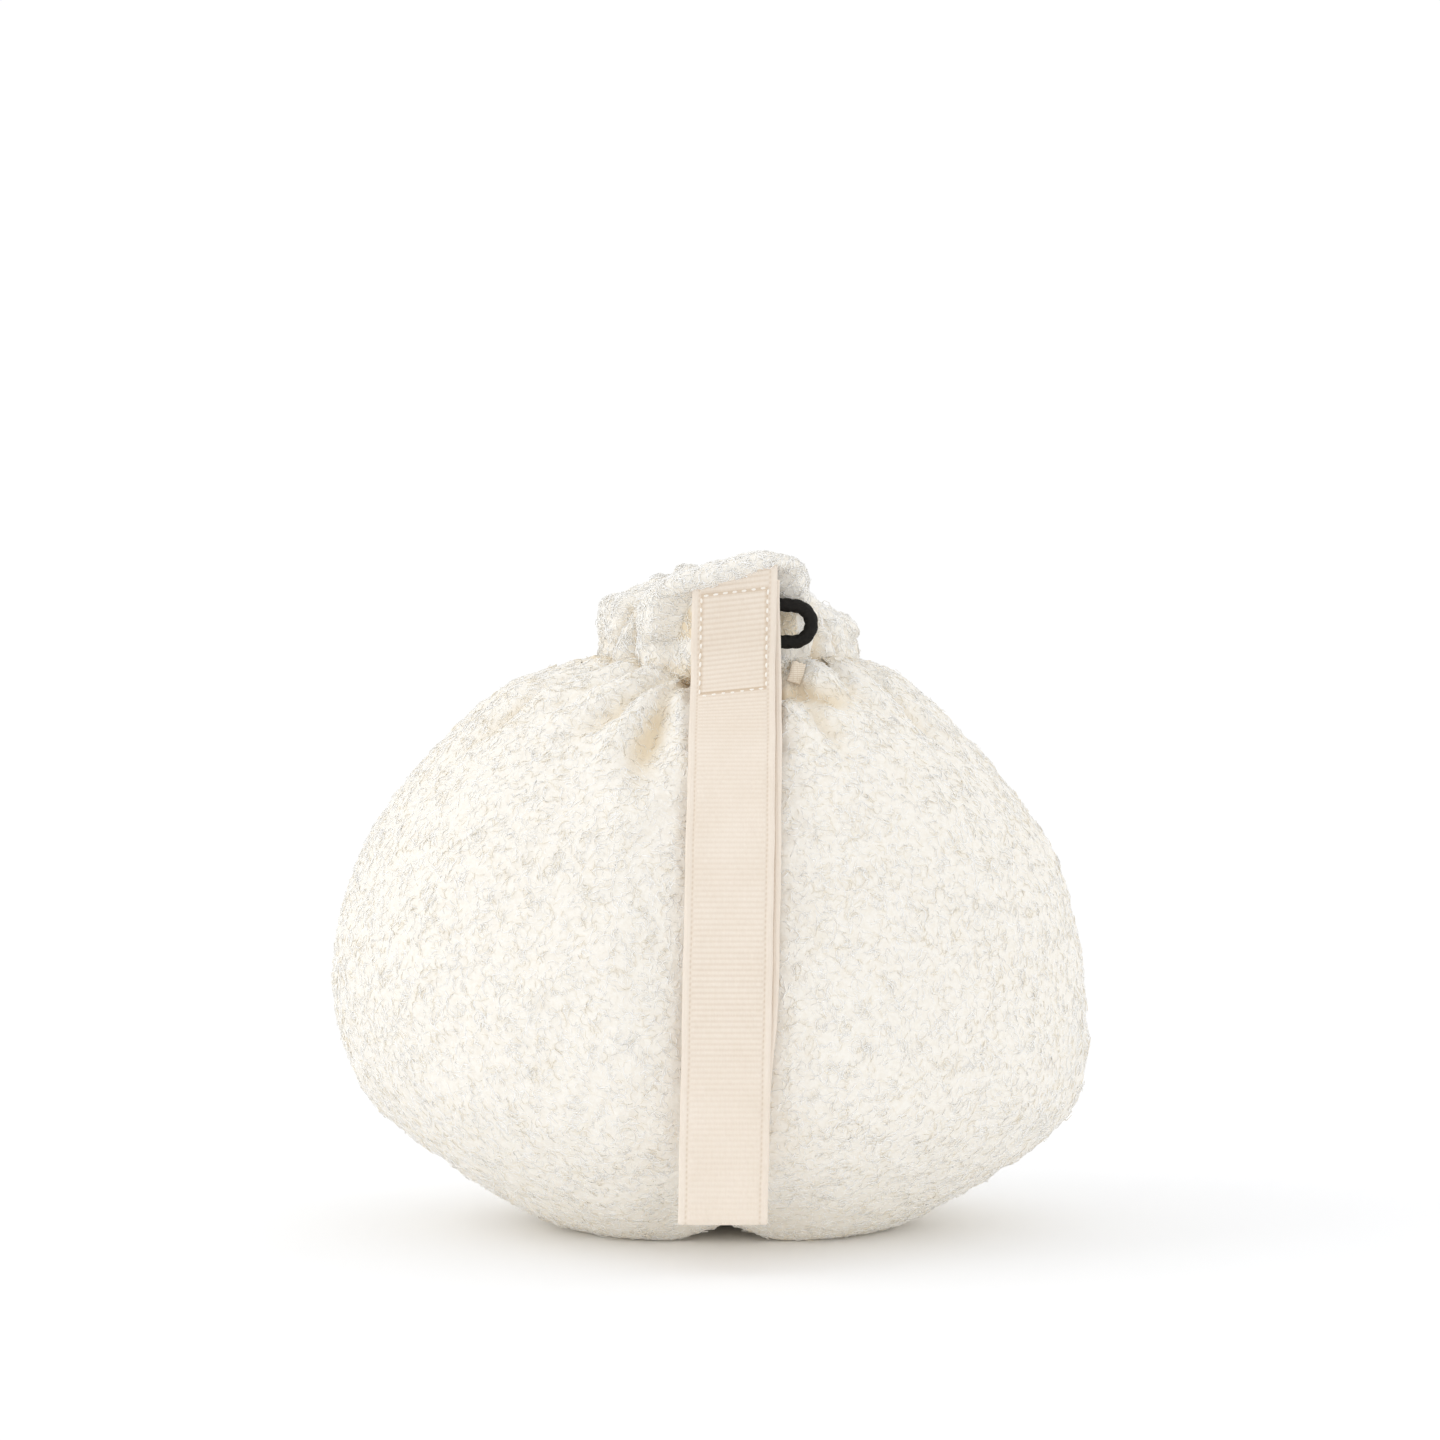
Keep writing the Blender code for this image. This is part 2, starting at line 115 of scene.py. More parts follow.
def turned_apart(angle, middle):
    """The size of the turn from one angle to another, in radians."""
    return np.abs((angle - middle + math.pi) % math.tau - math.pi)


def smooth_line(points, steps):
    """A Catmull-Rom line through the points."""
    p = np.asarray(points, float)
    p = np.vstack([2 * p[0] - p[1], p, 2 * p[-1] - p[-2]])
    line = []
    for before, start, end, after in zip(p, p[1:], p[2:], p[3:]):
        for step in range(steps):
            t = step / steps
            line.append(
                (
                    2 * start
                    + (end - before) * t
                    + (2 * before - 5 * start + 4 * end - after) * t**2
                    + (3 * start - before - 3 * end + after) * t**3
                )
                / 2
            )
    line.append(p[-2])
    return np.array(line)


def lengths(line):
    steps = np.linalg.norm(np.diff(line, axis=0), axis=1)
    return np.concatenate([[0.0], np.cumsum(steps)])


def resample(line, places):
    """The line's points at these distances along it."""
    along = lengths(line)
    return np.stack([np.interp(places, along, line[:, k]) for k in range(line.shape[1])], axis=1)


def centre_x(height):
    lean = BELLY_X + (BASE_X - BELLY_X) * smooth((0.058 - height) / 0.045)
    return lean + (NECK_X - BELLY_X) * smooth((height - 0.1165) / 0.0090)


def pouch_points(radius, angle, height):
    """Turned points of the pouch, made oval and drawn in along its seam."""
    fullness = smooth((radius - NECK_RADIUS) / (SHOULDER_RADIUS - NECK_RADIUS))
    oval = 1 + fullness * (HALF_DEPTH / HALF_WIDTH - 1)
    x = centre_x(height) + radius * np.cos(angle)
    y = radius * np.sin(angle) * oval
    across = np.abs(x - SEAM_X)
    drawn = smooth((radius - 0.012) / 0.020)
    seat = SEAM_DEPTH + NECK_VALLEY * smooth((height - 0.080) / 0.037)
    front = seat * (1 - smooth((across - SEAT_HALF_WIDTH) / SEAT_SIDE)) * drawn
    back = SEAM_DEPTH * (1 - smooth(across / SEAT_SIDE)) * drawn
    y = np.where(y < 0, y + front, y - back)
    arch = (1 - smooth(across / ARCH_HALF_WIDTH)) * (1 - smooth(height / ARCH_RISE))
    return np.stack([x, POUCH_Y + y, height + ARCH_HEIGHT * arch], axis=-1)


def strap_x(height):
    return STRAP_X + STRAP_LEAN * (height - HINGE_HEIGHT)


# ---------------------------------------------------------------- noise and meshes
def lattice_noise(points, cell, seed, channels=1):
    """Smooth seeded noise between -1 and 1 at points, with features about a cell across."""
    rng = np.random.default_rng(seed)
    shape = points.shape[:-1]
    p = (points.reshape(-1, 3) + np.array([0.12, 0.12, 0.02])) / cell
    size = np.ceil(np.array([0.24, 0.24, 0.20]) / cell).astype(int) + 2
    table = rng.uniform(-1, 1, (*size, channels)).astype(np.float32)
    base = np.floor(p).astype(int)
    share = smooth(p - base)
    total = np.zeros((len(p), channels))
    for corner in range(8):
        d = np.array([corner & 1, corner >> 1 & 1, corner >> 2 & 1])
        weight = np.prod(np.where(d, share, 1 - share), axis=1)
        i = np.clip(base + d, 0, size - 1)
        total += table[i[:, 0], i[:, 1], i[:, 2]] * weight[:, None]
    total = total.reshape(*shape, channels)
    return total[..., 0] if channels == 1 else total


def lumps(points, *layers):
    """Noise in layers, each a height, a cell size and a seed."""
    return sum(height * lattice_noise(points, cell, seed) for height, cell, seed in layers)


def unit(vectors):
    return vectors / np.maximum(np.linalg.norm(vectors, axis=-1, keepdims=True), 1e-12)


def add_object(name, points, quads, tris=(), material=None, flat=False):
    quads = np.asarray(quads, int).reshape(-1, 4)
    tris = np.asarray(tris, int).reshape(-1, 3)
    loops = np.concatenate([quads.ravel(), tris.ravel()])
    starts = np.concatenate(
        [np.arange(len(quads)) * 4, len(quads) * 4 + np.arange(len(tris)) * 3]
    )
    mesh = bpy.data.meshes.new(name)
    mesh.vertices.add(len(points))
    mesh.vertices.foreach_set("co", np.asarray(points, np.float32).ravel())
    mesh.loops.add(len(loops))
    mesh.loops.foreach_set("vertex_index", loops.astype(np.int32))
    mesh.polygons.add(len(starts))
    mesh.polygons.foreach_set("loop_start", starts.astype(np.int32))
    mesh.update(calc_edges=True)
    if not flat:
        mesh.shade_smooth()
    if material is not None:
        mesh.materials.append(material)
    made = bpy.data.objects.new(name, mesh)
    bpy.context.scene.collection.objects.link(made)
    return made


def add_attribute(made, name, values):
    layer = made.data.attributes.new(name, "FLOAT", "POINT")
    layer.data.foreach_set("value", np.asarray(values, np.float32).ravel())


def grid_quads(rows, columns, wrap=False, first=0):
    """Faces of a grid of points, in rows of columns. With wrap the last column meets the first."""
    r = np.arange(rows - 1)[:, None]
    c = np.arange(columns if wrap else columns - 1)[None, :]
    n = (c + 1) % columns
    corners = (r * columns + c, r * columns + n, (r + 1) * columns + n, (r + 1) * columns + c)
    corners = [np.broadcast_to(k, (rows - 1, c.shape[1])) for k in corners]
    return first + np.stack(corners, -1).reshape(-1, 4)


def ring_quads(start, end):
    """Faces between two rings of points."""
    return np.stack([start, np.roll(start, -1), np.roll(end, -1), end], axis=1)


def fan(ring, tip):
    """Triangles from a ring of points to a tip."""
    return np.stack([ring, np.roll(ring, -1), np.full(len(ring), tip)], axis=1)


def sheet_quads(rows, columns):
    """Faces of a sheet with two sides: an outer grid, an inner grid and the edges between."""
    n = rows * columns
    quads = [grid_quads(rows, columns), grid_quads(rows, columns, first=n)[:, ::-1]]
    for column, turn in ((0, 1), (columns - 1, -1)):
        i = np.arange(rows - 1) * columns + column
        quads.append(np.stack([i, i + columns, i + columns + n, i + n], axis=1)[:, ::turn])
    for row, turn in ((0, -1), (rows - 1, 1)):
        i = row * columns + np.arange(columns - 1)
        quads.append(np.stack([i, i + 1, i + 1 + n, i + n], axis=1)[:, ::turn])
    return np.vstack(quads)


def grid_normals(grid, wrap=False):
    if wrap:
        along = np.roll(grid, -1, axis=1) - np.roll(grid, 1, axis=1)
    else:
        along = np.gradient(grid, axis=1)
    up = np.gradient(grid, axis=0)
    return unit(np.cross(along, up))


# ---------------------------------------------------------------- materials
class Shade:
    """A node material, built step by step."""

    def __init__(self, name, roughness=0.9, **sockets):
        self.material = bpy.data.materials.new(name)
        self.material.use_nodes = True
        self.tree = self.material.node_tree
        self.shader = self.tree.nodes["Principled BSDF"]
        self.shader.inputs["Roughness"].default_value = roughness
        for socket, value in sockets.items():
            self.shader.inputs[socket.replace("_", " ")].default_value = value
        self.place = self.node("ShaderNodeTexCoord").outputs["Object"]

    def node(self, kind, inputs=None, **settings):
        made = self.tree.nodes.new(kind)
        for key, value in settings.items():
            setattr(made, key, value)
        for key, value in (inputs or {}).items():
            self.put(made.inputs[key], value)
        return made

    def put(self, socket, value):
        if hasattr(value, "is_output"):
            self.tree.links.new(value, socket)
        else:
            socket.default_value = value

    def set(self, socket, value):
        self.put(self.shader.inputs[socket], value)

    def stretched(self, stretch):
        if stretch is None:
            return self.place
        return self.node("ShaderNodeMapping", {"Vector": self.place, "Scale": stretch}).outputs["Vector"]

    def noise(self, scale, detail, stretch=None):
        inputs = {"Vector": self.stretched(stretch), "Scale": scale, "Detail": detail}
        return self.node("ShaderNodeTexNoise", inputs).outputs["Fac"]

    def wave(self, scale, direction, distortion, detail_scale):
        inputs = {
            "Vector": self.place,
            "Scale": scale,
            "Distortion": distortion,
            "Detail Scale": detail_scale,
        }
        return self.node("ShaderNodeTexWave", inputs, bands_direction=direction).outputs["Fac"]

    def voronoi(self, scale, output="Distance", stretch=None):
        inputs = {"Vector": self.stretched(stretch), "Scale": scale}
        return self.node("ShaderNodeTexVoronoi", inputs).outputs[output]

    def math(self, operation, a, b):
        return self.node("ShaderNodeMath", {0: a, 1: b}, operation=operation).outputs[0]

    def blend(self, first, second, share):
        """The two values mixed, with this share of the second."""
        return self.math("ADD", self.math("MULTIPLY", first, 1 - share), self.math("MULTIPLY", second, share))

    def ramp(self, value, *stops):
        made = self.node("ShaderNodeValToRGB", {"Fac": value})
        ramp = made.color_ramp
        while len(ramp.elements) < len(stops):
            ramp.elements.new(0.5)
        for element, (place, colour) in zip(ramp.elements, stops):
            element.position = place
            element.color = (*colour, 1)
        return made.outputs["Color"]

    def range(self, value, low, high):
        inputs = {"Value": value, "To Min": low, "To Max": high}
        return self.node("ShaderNodeMapRange", inputs).outputs["Result"]

    def attribute(self, name):
        return self.node("ShaderNodeAttribute", attribute_name=name).outputs["Fac"]

    def mix(self, share, first, second):
        made = self.node("ShaderNodeMix", data_type="RGBA")
        for number, value in ((0, share), (6, first), (7, second)):
            if isinstance(value, tuple):
                value = (*value, 1)
            self.put(made.inputs[number], value)
        return made.outputs[2]

    def bump(self, height, distance, strength):
        inputs = {"Height": height, "Distance": distance, "Strength": strength}
        self.set("Normal", self.node("ShaderNodeBump", inputs).outputs["Normal"])


def plush_skin():
    s = Shade("plush_skin", 0.95)
    grain = s.noise(900, 3)
    light = s.ramp(grain, (0.3, (0.86, 0.815, 0.735)), (0.62, (0.905, 0.875, 0.815)))
    # painted shade: the skin is mixed towards warm tan where the fold attribute is high, in the gathers and
    # folds, under the collar, along the tuck and behind the pull loop
    s.set("Base Color", s.mix(s.attribute("fold"), light, (0.80, 0.69, 0.52)))
    s.set("Roughness", s.range(grain, 0.88, 1.0))
    s.bump(s.math("ADD", s.noise(1400, 2), s.math("MULTIPLY", s.voronoi(500), 0.8)), 0.0003, 0.4)
    return s.material


def pile_tone(name, colour):
    return Shade(name, 0.9, Base_Color=(*colour, 1)).material


def ribbon_cloth():
    s = Shade("ribbon_cloth", 0.6, Sheen_Weight=0.2, Sheen_Roughness=0.4)
    warp = s.wave(560, "X", 0.6, 3.0)
    cloud = s.noise(120, 3)
    fine = s.noise(1800, 2, (1, 1, 0.35))
    mixed = s.blend(cloud, fine, 0.5)
    cloth = s.ramp(mixed, (0.3, (0.80, 0.705, 0.60)), (0.7, (0.85, 0.765, 0.67)))
    # painted shade: the ribbon turns darker brown in the hollows between its ribs and in the grooves by its
    # edges; it is also darker along the lines of the stitch box
    s.set("Base Color", s.mix(s.attribute("groove"), cloth, (0.62, 0.49, 0.36)))
    s.set("Roughness", s.range(warp, 0.5, 0.72))
    s.bump(s.math("ADD", s.math("MULTIPLY", warp, 0.5), fine), 0.00012, 0.5)
    return s.material


def thread_cloth(name, low, high):
    s = Shade(name, 0.7, Sheen_Weight=0.2)
    twist = s.noise(2600, 2, (1, 0.4, 1))
    s.set("Base Color", s.ramp(twist, (0.3, low), (0.7, high)))
    s.set("Roughness", s.range(twist, 0.6, 0.85))
    s.bump(twist, 0.0001, 0.7)
    return s.material


def cord_cloth():
    s = Shade("cord_braid", 0.62, Specular_IOR_Level=0.18)
    strands = s.noise(2400, 3, (0.5, 1, 1))
    s.set("Base Color", s.ramp(strands, (0.3, (0.004, 0.0035, 0.003)), (0.75, (0.014, 0.012, 0.010))))
    s.set("Roughness", s.range(strands, 0.5, 0.8))
    s.bump(strands, 0.00015, 0.7)
    return s.material


def woven(name, low, high, threads, depth, roughness=0.85):
    """A plain weave: threads crossing over and under. More threads make it finer."""
    s = Shade(name, roughness, Sheen_Weight=0.1)
    level = s.wave(threads, "Z", 1.2, 4.0)
    upright = s.math("MAXIMUM", s.wave(threads, "X", 1.2, 4.0), s.wave(threads, "Y", 1.2, 4.0))
    cloth = s.math("MULTIPLY", level, upright)
    slub = s.noise(260, 3, (1, 1, 0.3))
    mixed = s.blend(cloth, slub, 0.45)
    s.set("Base Color", s.ramp(mixed, (0.2, low), (0.75, high)))
    s.set("Roughness", s.range(slub, roughness - 0.1, min(roughness + 0.1, 1.0)))
    s.bump(mixed, depth, 0.8)
    return s.material


HERB_COLOURS = (
    (0.0, (0.075, 0.085, 0.025)),
    (0.4, (0.19, 0.17, 0.06)),
    (0.75, (0.30, 0.22, 0.10)),
    (1.0, (0.42, 0.33, 0.17)),
)


def herb_mix():
    s = Shade("herb_mix", 0.95)
    leaves = s.voronoi(420, stretch=(1, 1.7, 0.8))
    hue = s.node("ShaderNodeSeparateColor", {"Color": s.voronoi(330, "Color")}).outputs["Red"]
    s.set("Base Color", s.ramp(hue, *HERB_COLOURS))
    s.set("Roughness", s.range(leaves, 0.8, 1.0))
    s.bump(s.math("ADD", leaves, s.noise(900, 2)), 0.0012, 0.9)
    return s.material


# ---------------------------------------------------------------- camera, light and floor
CAMERA_PLACE = (0.0024, -0.740, 0.1115)
CAMERA_LENS = 83.25
WORLD_FRONT = 0.87
WORLD_BACK = 1.04
WORLD_SEEN = 1.02
WHITE = (1.0, 1.0, 1.0, 1)
AIM = (0, 0, 0.06)
# place, target, size and power of each light
LIGHTS = {
    "key_left": ((-0.80, -0.15, 0.55), AIM, (0.8, 0.8), 1.9),
    "fill_right": ((0.80, 0.10, 0.50), AIM, (0.8, 0.8), 0.9),
    "front_low": ((0.0, -0.90, 0.045), (0, 0, 0.03), (0.9, 0.08), 0.8),
}
FLOOR_HEIGHT = -0.00005
FLOOR_SIDES = 96
FLOOR_FADE = (0.17, 0.36)


def add_camera():
    data = bpy.data.cameras.new("camera")
    data.sensor_width = 36.0
    data.lens = CAMERA_LENS
    camera = bpy.data.objects.new("camera", data)
    camera.location = CAMERA_PLACE
    camera.rotation_euler = (math.pi / 2, 0, 0)
    bpy.context.scene.collection.objects.link(camera)
    bpy.context.scene.camera = camera


def add_light(name, place, target, size, energy):
    data = bpy.data.lights.new(name, "AREA")
    data.shape = "RECTANGLE"
    data.size, data.size_y = size
    data.energy = energy
    light = bpy.data.objects.new(name, data)
    light.location = place
    aim = np.array(target, float) - np.array(place, float)
    light.rotation_euler = mathutils.Vector(aim).to_track_quat("-Z", "Y").to_euler()
    bpy.context.scene.collection.objects.link(light)


def add_world():
    """A white room, a little dimmer in front, that is seen as plain white."""
    world = bpy.data.worlds.new("studio")
    bpy.context.scene.world = world
    world.use_nodes = True
    tree = world.node_tree
    background = tree.nodes["Background"]
    background.inputs["Color"].default_value = WHITE
    seen = tree.nodes.new("ShaderNodeBackground")
    seen.inputs["Color"].default_value = WHITE
    seen.inputs["Strength"].default_value = WORLD_SEEN
    place = tree.nodes.new("ShaderNodeTexCoord")
    parts = tree.nodes.new("ShaderNodeSeparateXYZ")
    tree.links.new(place.outputs["Generated"], parts.inputs[0])
    fall = tree.nodes.new("ShaderNodeMapRange")
    limits = {"From Min": -1.0, "From Max": 0.3, "To Min": WORLD_FRONT, "To Max": WORLD_BACK}
    for socket, value in limits.items():
        fall.inputs[socket].default_value = value
    tree.links.new(parts.outputs["Y"], fall.inputs["Value"])
    tree.links.new(fall.outputs["Result"], background.inputs["Strength"])
    rays = tree.nodes.new("ShaderNodeLightPath")
    mix = tree.nodes.new("ShaderNodeMixShader")
    tree.links.new(rays.outputs["Is Camera Ray"], mix.inputs["Fac"])
    tree.links.new(background.outputs[0], mix.inputs[1])
    tree.links.new(seen.outputs[0], mix.inputs[2])
    tree.links.new(mix.outputs[0], tree.nodes["World Output"].inputs["Surface"])


def add_floor():
    """A white disc that fades out well before its edge."""
    turns = np.linspace(0, math.tau, FLOOR_SIDES, endpoint=False)
    rings = np.concatenate([[0.0001], np.linspace(0.05, 1.0, 20)])[:, None]
    level = np.full((len(rings), FLOOR_SIDES), FLOOR_HEIGHT)
    grid = np.stack([rings * np.cos(turns), rings * np.sin(turns), level], axis=-1)
    s = Shade("studio_floor", 1.0, Specular_IOR_Level=0.0)
    s.set("Base Color", s.ramp(s.noise(6, 1), (0.0, (0.935, 0.940, 0.950)), (1.0, (0.945, 0.950, 0.960))))
    away = s.node("ShaderNodeVectorMath", {0: s.place}, operation="LENGTH").outputs["Value"]
    fading = {"Value": away, "From Min": FLOOR_FADE[0], "From Max": FLOOR_FADE[1]}
    edge = s.node("ShaderNodeMapRange", fading, interpolation_type="SMOOTHSTEP").outputs["Result"]
    clear = s.node("ShaderNodeBsdfTransparent")
    fade = s.node("ShaderNodeMixShader", {"Fac": edge, 1: s.shader.outputs[0], 2: clear.outputs[0]})
    s.tree.links.new(fade.outputs[0], s.tree.nodes["Material Output"].inputs["Surface"])
    quads = grid_quads(len(rings), FLOOR_SIDES, wrap=True)
    floor = add_object("studio_floor", grid.reshape(-1, 3), quads, material=s.material)


def add_stage():
    scene = bpy.context.scene
    scene.view_settings.view_transform = "Standard"
    scene.cycles.max_bounces = 28
    scene.cycles.diffuse_bounces = 24
    add_world()
    for name, values in LIGHTS.items():
        add_light(name, *values)
    add_floor()


# ---------------------------------------------------------------- cover
OUTLINE = smooth_line(POUCH_OUTLINE, 24)
OUTLINE[:, 1] = np.maximum(OUTLINE[:, 1], 0.0)
OUTLINE_START = 0.0012
OUTLINE_LENGTH = lengths(OUTLINE)[-1]
COVER_ROWS, COVER_COLUMNS = 186, 196
COARSE_ROWS, COARSE_COLUMNS = 60, 144
SETTLE_LIMIT = 0.004
LINING_DEPTH = 0.0019
GATHER_TOP = 0.1225
PUFF = 0.0016
TUCK_DEPTH = 0.0020
PILE_ROOM = 0.0008
SEAM_PITCH, SEAM_HALF_STITCH, SEAM_THREAD_RADIUS = 0.0024, 0.0009, 0.00022
SEAM_TOP = 0.1185
GATHERS = (
    # angle at the neck and at the end in degrees (-90 is the front), lowest height, depth and
    # half width in metres
    (-101, -103, 0.094, 0.0036, 0.0026),
    (-107, -122, 0.104, 0.0036, 0.0030),
    (-124, -138, 0.108, 0.0024, 0.0026),
    (-143, -152, 0.100, 0.0026, 0.0028),
    (-166, -166, 0.106, 0.0028, 0.0026),
    (170, 173, 0.100, 0.0028, 0.0028),
    (150, 148, 0.107, 0.0022, 0.0026),
    (133, 130, 0.098, 0.0032, 0.0030),
    (116, 114, 0.106, 0.0024, 0.0024),
    (81, 79, 0.098, 0.0024, 0.0024),
    (99, 101, 0.092, 0.0024, 0.0024),
    (65, 66, 0.105, 0.0026, 0.0026),
    (47, 50, 0.098, 0.0032, 0.0030),
    (27, 29, 0.107, 0.0024, 0.0026),
    (6, 4, 0.101, 0.0030, 0.0028),
    (-14, -17, 0.107, 0.0022, 0.0026),
    (-31, -29, 0.102, 0.0030, 0.0028),
    (-47, -42, 0.109, 0.0040, 0.0032),
    (-64, -60, 0.098, 0.0024, 0.0024),
    (-77, -76, 0.101, 0.0022, 0.0022),
)


def pouch_base(places, angle):
    """Points at distances along the outline and at angles round it, with their radius and height."""
    profile = resample(OUTLINE, places)
    radius, height = profile[:, :1], profile[:, 1:2]
    angle = np.broadcast_to(angle, (len(places), angle.shape[-1]))
    radius = np.broadcast_to(radius, angle.shape)
    height = np.broadcast_to(height, angle.shape)
    return pouch_points(radius, angle, height), radius, height


def gather_depth(radius, angle, height):
    """How far the cloth is drawn in where it is gathered."""
    total = np.zeros(angle.shape)
    for neck_angle, low_angle, low, depth, width in GATHERS:
        share = smooth((height - low) / (GATHER_TOP - low))
        middle = np.radians(low_angle + (neck_angle - low_angle) * share)
        apart = turned_apart(angle, middle) * np.maximum(radius, 0.016)
        narrow = width * (0.75 + 0.9 * (1 - share))
        near = bell(apart / narrow)
        ridge = bell((apart - 2.4 * narrow) / (1.3 * narrow))
        strength = smooth((height - low) / 0.016) * (1 - 0.45 * smooth((height - 0.1135) / 0.006))
        total += depth * near * strength - 0.22 * depth * ridge * strength
    return total * smooth((radius - 0.021) / 0.011)


CLOTH = {
    "quality": 6,
    "mass": 0.2,
    "tension_stiffness": 30,
    "compression_stiffness": 30,
    "shear_stiffness": 10,
    "bending_stiffness": 0.8,
    "use_pressure": True,
    "uniform_pressure_force": 4,
}
SETTLE_FRAMES = 20


def cloth_settle():
    """A coarse pouch filled and let settle as cloth. Returns how far each of its points moved."""
    rows, columns = COARSE_ROWS, COARSE_COLUMNS
    places = np.linspace(OUTLINE_START, OUTLINE_LENGTH, rows)
    angle = np.linspace(-math.pi, math.pi, columns, endpoint=False)[None, :]
    start, radius, height = pouch_base(places, angle)
    normals = grid_normals(start, wrap=True)
    start = start - normals * gather_depth(radius, np.broadcast_to(angle, radius.shape), height)[..., None]
    made = add_object("settling_cloth", start.reshape(-1, 3), grid_quads(rows, columns, wrap=True))
    made.shape_key_add(name="Basis")
    rest = made.shape_key_add(name="uncut")
    slack = 1 + 0.55 * smooth((height - 0.096) / 0.024)
    middle = np.stack([centre_x(height), np.full_like(height, POUCH_Y), height], axis=-1)
    spread = middle + (start - middle) * np.stack([slack, slack, np.ones_like(slack)], axis=-1)
    rest.data.foreach_set("co", spread.astype(np.float32).ravel())
    group = made.vertex_groups.new(name="held")
    held = np.where((radius < 0.021) | (height < 0.0012))
    group.add([int(i) for i in held[0] * columns + held[1]], 1.0, "REPLACE")
    modifier = made.modifiers.new("Cloth", "CLOTH")
    cloth = modifier.settings
    for name, value in CLOTH.items():
        setattr(cloth, name, value)
    cloth.vertex_group_mass = "held"
    cloth.rest_shape_key = rest
    cloth.effector_weights.gravity = 0
    modifier.collision_settings.use_collision = False
    for number in range(1, SETTLE_FRAMES + 1):
        bpy.context.scene.frame_set(number)
    evaluated = made.evaluated_get(bpy.context.evaluated_depsgraph_get())
    mesh = evaluated.to_mesh()
    moved = np.empty(rows * columns * 3, np.float32)
    mesh.vertices.foreach_get("co", moved)
    evaluated.to_mesh_clear()
    bpy.context.scene.frame_set(1)
    data = made.data
    bpy.data.objects.remove(made)
    bpy.data.meshes.remove(data)
    shift = moved.reshape(rows, columns, 3).astype(float) - start
    if not np.isfinite(shift).all():
        shift[:] = 0
    far = np.linalg.norm(shift, axis=-1, keepdims=True)
    return shift * np.minimum(1.0, SETTLE_LIMIT / np.maximum(far, 1e-9))


def sample_grid(field, row_place, column_place):
    """A periodic grid field between its points. Places are in rows and columns."""
    rows, columns = field.shape[:2]
    r0 = np.clip(np.floor(row_place).astype(int), 0, rows - 2)
    fr = smooth(np.clip(row_place - r0, 0, 1)) * 0.5 + np.clip(row_place - r0, 0, 1) * 0.5
    c0 = np.floor(column_place).astype(int)
    fc = smooth(column_place - c0) * 0.5 + (column_place - c0) * 0.5
    c1, c0 = (c0 + 1) % columns, c0 % columns
    fr, fc = fr[..., None], fc[..., None]
    low = field[r0, c0] * (1 - fc) + field[r0, c1] * fc
    high = field[r0 + 1, c0] * (1 - fc) + field[r0 + 1, c1] * fc
    return low * (1 - fr) + high * fr


def right_tuck(points):
    """1 along the fold that runs out from the strap to the right, just under the collar."""
    x, y, z = points[..., 0], points[..., 1], points[..., 2]
    line = 0.1180 - 0.17 * (x - 0.0150)
    span = smooth((x - 0.0110) / 0.003) * (1 - smooth((x - 0.0250) / 0.009))
    return bell((z - line) / 0.0017) * span * (y < -0.010)


def make_seam(grid, thread):
    """The stitches along the seam between the two panels, front and back."""
    points, normals = grid[0], grid[1]
    parts = []
    for column in (0, -1):
        line, out = points[:, column], normals[:, column]
        reach = lengths(line)
        last = reach[np.argmax(line[:, 2] > SEAM_TOP)]
        for middle in np.arange(0.004, last, SEAM_PITCH):
            ends = []
            for place in (middle - SEAM_HALF_STITCH, middle + SEAM_HALF_STITCH):
                spot = np.array([np.interp(place, reach, line[:, k]) for k in range(3)])
                normal = unit(np.array([np.interp(place, reach, out[:, k]) for k in range(3)]))
                spot = spot + normal * 0.00008
                ends.append(np.array([SEAM_X, spot[1], max(spot[2], 0.0003)]))
            parts.append(capsule(*ends, SEAM_THREAD_RADIUS, normal, 0.00018))
    seam = add_object("seam_stitches", *join(parts), material=thread)
    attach(seam, "pouch")
    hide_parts("seam_thread")


def strap_back_y(height):
    """The y of the strap's back face at a height."""
    line = smooth_line(STRAP_LINE, 8)[::-1]
    return np.interp(height, line[:, 1], line[:, 0]) + HALF_STACK


def under_strap(points, margin=0.0):
    """1 under the strap and 0 clear of it."""
    apart = np.abs(points[..., 0] - strap_x(points[..., 2])) - STRAP_HALF_WIDTH - margin
    share = 1 - smooth(apart / 0.002)
    front = (points[..., 1] < -0.015) & (points[..., 2] > 0.008) & (points[..., 2] < 0.146)
    return share * front


